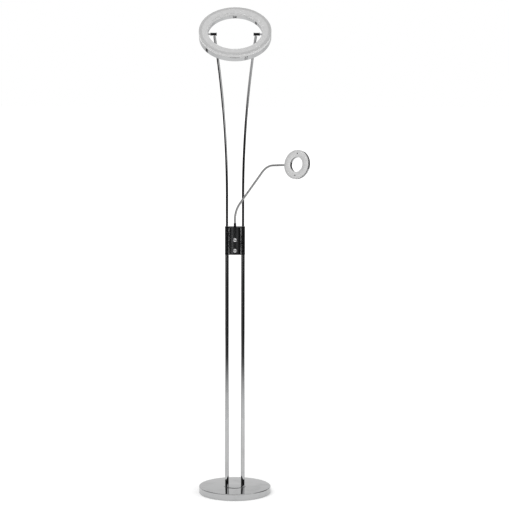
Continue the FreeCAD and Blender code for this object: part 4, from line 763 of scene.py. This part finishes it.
# Painted shade and reflection on the reading lens: its inner wall is black as painted shade, its outer
# wall black as a painted reflection of the dark studio front, its face has a slightly darker band towards
# the outer edge, and the side shade paints each side of the face lighter towards +x and darker towards
# -x.
READING_PAINTED_TONES = [(0.02665, 0.0268, 0.85), (0.044, 0.049, -0.05), (0.0526, 0.05296, -0.81)]
READING_ACRYLIC = make_acrylic("reading_acrylic", READING_PLACE, READING_TURN, start=-0.07,
                               steps=READING_PAINTED_TONES, grain=0.92, painted_side_shade=(0.0398, 12.0))
refinish(READING_ACRYLIC, "reading_lens")
refinish(LED_BOARD, "reading_led_board")
refinish(LED, "reading_leds")
refinish(BLACK_SCREWS, "reading_screws")


# Studio.
# Pale floor under a white surround, soft lamps, and a tent that only reflections see: black in
# front up to a level that falls from left to right, light above it and behind.

FLOOR_REACH = 40
TENT_RADIUS = 3.9
TENT_HEIGHT = 6.0
TENT_ROWS = 60
TENT_COLUMNS = 1081
RING_NEAR = 1.3
RING_FAR = 3.86
RING_LEVEL = 0.004
RING_ROWS = 40
RING_GLOW = 0.9
CAMERA_PLACE = (0.071, -6.5, 1.669)
CAMERA_DOWN = math.radians(6.78)
CAMERA_ASIDE = math.radians(-0.008)
CAMERA_ROLL = math.radians(0.115)
FOCAL_LENGTH = 125.58


def new_stage(name, mesh, material):
    """Object of the studio, which isn't part of the lamp."""
    item = bpy.data.objects.new(name, mesh)
    bpy.context.scene.collection.objects.link(item)
    mesh.materials.append(material)
    return item


def make_floor():
    """Matt pale floor that keeps shadows and fades to white away from the lamp."""
    material = bpy.data.materials.new("studio_floor")
    material.use_nodes = True
    tree = material.node_tree
    surface = tree.nodes["Principled BSDF"]
    surface.inputs["Base Color"].default_value = (0.86, 0.86, 0.86, 1.0)
    surface.inputs["Roughness"].default_value = 0.9
    surface.inputs["Specular IOR Level"].default_value = 0.0
    rays = add(tree, "ShaderNodeLightPath").outputs
    seen = either(tree, rays["Is Camera Ray"], rays["Is Transmission Ray"])
    vector = add(tree, "ShaderNodeTexCoord").outputs["Object"]
    away = add(tree, "ShaderNodeVectorMath", {"operation": "LENGTH"}, in_0=vector)
    glow = product(tree, seen, ramp(tree, away.outputs["Value"], 0.4, 3.0, 0.3, 0.7))
    glow = weighted(tree, glow, rays["Is Glossy Ray"], 0.2)
    surface.inputs["Emission Color"].default_value = (1.0, 1.0, 1.0, 1.0)
    tree.links.new(glow, surface.inputs["Emission Strength"])
    return material


def rise(value, low, high):
    """Smooth step, 3 t^2 - 2 t^3, from 0 at low to 1 at high."""
    share = np.clip((value - low) / (high - low), 0, 1)
    return share * share * (3 - 2 * share)


def bump(value, middle, half_width):
    """Flat-topped hump, exp(-((value - middle) / half width)^4)."""
    return np.exp(-((value - middle) / half_width) ** 4)


def tent_glow(azimuth, height):
    """Brightness of the tent's wall at an azimuth in degrees, 0 in front and growing to the right,
    and a height in metres."""
    front = rise(azimuth, -131, -126) * (1 - rise(azimuth, 94, 98))
    right = rise(azimuth, 30, 40)
    centre = rise(azimuth, 0, 8) * (1 - right)
    left = 1 - right - centre
    # The front's black ends lower down from left to right.
    low = left * (1 - rise(height, 1.5, 1.75)) + centre * (1 - rise(height, 1.05, 1.35))
    low = low + right * (1 - rise(height, 0.95, 1.1))
    # The poles below the box mirror the haze and the strip, and the box also the panes.
    haze = 0.09 * rise(azimuth, -50, -30) * (1 - rise(azimuth, 6, 14)) * (1 - rise(height, 0.6, 0.68))
    strip = bump(azimuth, -9.9, 1.0) * rise(height, 0.25, 0.4) * (2.4 - 2.0 * rise(height, 0.4, 0.75))
    panes = 0.6 * bump(azimuth, 7.2, 3.6) + 0.2 * bump(azimuth, -5.5, 3.5)
    panes = panes * rise(height, 0.42, 0.45) * (1 - rise(height, 0.6, 0.63))
    dark = 0.012 + haze + strip + panes
    front_glow = dark * low + (1 - low) * (0.62 + 0.15 * centre + 0.38 * right)
    # The gap is wider higher up, and the back darkens towards the top.
    gap_end = 120 + 45 * rise(height, 1.4, 1.6)
    gap = rise(azimuth, 94, 98) * (1 - rise(azimuth, gap_end - 2, gap_end + 2))
    back_glow = (0.78 - 0.74 * rise(height, 2.95, 3.35)) * (1 - 0.97 * gap)
    return front * front_glow + (1 - front) * back_glow


def make_tent_mesh():
    """Grid of rows (distance, height) carried round the lamp: a flat ring on the floor, then an
    upright wall. The ring fades into the wall, from nearer the lamp where the wall is dark."""
    azimuth = np.linspace(-180, 180, TENT_COLUMNS)
    reach = np.concatenate([np.linspace(RING_NEAR, RING_FAR, RING_ROWS),
                            np.full(TENT_ROWS, TENT_RADIUS)])[:, None]
    height = np.concatenate([np.full(RING_ROWS, RING_LEVEL),
                             np.linspace(0.0, TENT_HEIGHT, TENT_ROWS)])[:, None]
    angle = np.radians(azimuth)
    grid = np.stack([reach * np.sin(angle), -reach * np.cos(angle), height * np.ones_like(angle)],
                    axis=-1)
    ahead = (azimuth > -98) & (azimuth < 90)
    fade = rise(reach, np.where(ahead, 1.4, 3.1), np.where(ahead, 3.05, 3.85))
    fade[RING_ROWS:] = 1.0
    glow = RING_GLOW * (1 - fade) + tent_glow(azimuth, height) * fade
    rows, columns = glow.shape
    number = np.arange(rows * columns).reshape(rows, columns)
    quads = np.stack([number[:-1, :-1], number[:-1, 1:], number[1:, 1:], number[1:, :-1]], -1)
    mesh = bpy.data.meshes.new("studio_tent")
    mesh.from_pydata(grid.reshape(-1, 3), [], quads.reshape(-1, 4).tolist())
    values = mesh.attributes.new("glow", "FLOAT", "POINT").data
    values.foreach_set("value", glow.ravel().astype(np.float32))
    return mesh


def make_tent_light():
    """Light of the tent, as strong as its points say."""
    material = bpy.data.materials.new("studio_tent")
    material.use_nodes = True
    tree = material.node_tree
    tree.nodes.remove(tree.nodes["Principled BSDF"])
    level = add(tree, "ShaderNodeAttribute", {"attribute_name": "glow"})
    light = add(tree, "ShaderNodeEmission", Strength=level.outputs["Fac"])
    tree.links.new(light.outputs[0], tree.nodes["Material Output"].inputs["Surface"])
    return material


def soft_lamp(name, place, aim, width, power):
    """Round area lamp of a width in metres and a power in watts, turned towards aim."""
    data = bpy.data.lights.new(name, "AREA")
    data.shape = "DISK"
    data.size = width
    data.energy = power
    lamp = bpy.data.objects.new(name, data)
    bpy.context.scene.collection.objects.link(lamp)
    lamp.location = place
    lamp.rotation_euler = (Vector(aim) - Vector(place)).to_track_quat("-Z", "Y").to_euler()
    lamp.visible_glossy = False


floor_corners = [(FLOOR_REACH * x, FLOOR_REACH * y, 0) for x, y in ((-1, -1), (1, -1), (1, 1), (-1, 1))]
floor_mesh = bpy.data.meshes.new("studio_floor")
floor_mesh.from_pydata(floor_corners, [], [(0, 1, 2, 3)])
new_stage("studio_floor", floor_mesh, make_floor())
tent = new_stage("studio_tent", make_tent_mesh(), make_tent_light())
tent.visible_camera = False
tent.visible_diffuse = False
tent.visible_transmission = False
tent.visible_shadow = False
soft_lamp("lamp_above", place=(-1.2, -1.6, 3.6), aim=(0, 0, 1.0), width=2.4, power=49.0)
soft_lamp("lamp_right", place=(2.6, -1.4, 1.8), aim=(0, 0, 1.2), width=1.8, power=17.0)

world = bpy.data.worlds.new("studio")
bpy.context.scene.world = world
world.use_nodes = True
tree = world.node_tree
backdrop = tree.nodes["Background"]
backdrop.inputs["Color"].default_value = (1.0, 1.0, 1.0, 1.0)
rays = add(tree, "ShaderNodeLightPath").outputs
plain = either(tree, rays["Is Camera Ray"], rays["Is Transmission Ray"])
plain = either(tree, plain, rays["Is Glossy Ray"])
level = add(tree, "ShaderNodeMapRange", Value=plain, To_Min=0.6, To_Max=1.0)
tree.links.new(level.outputs["Result"], backdrop.inputs["Strength"])

camera_data = bpy.data.cameras.new("camera")
camera = bpy.data.objects.new("camera", camera_data)
bpy.context.scene.collection.objects.link(camera)
camera.location = CAMERA_PLACE
aim = Matrix.Rotation(CAMERA_ASIDE, 3, "Z") @ Matrix.Rotation(math.pi / 2 - CAMERA_DOWN, 3, "X")
camera.rotation_euler = (aim @ Matrix.Rotation(CAMERA_ROLL, 3, "Z")).to_euler()
camera_data.lens = FOCAL_LENGTH
camera_data.sensor_width = 36.0
camera_data.clip_end = 200.0
bpy.context.scene.camera = camera
bpy.context.scene.view_settings.view_transform = "Standard"
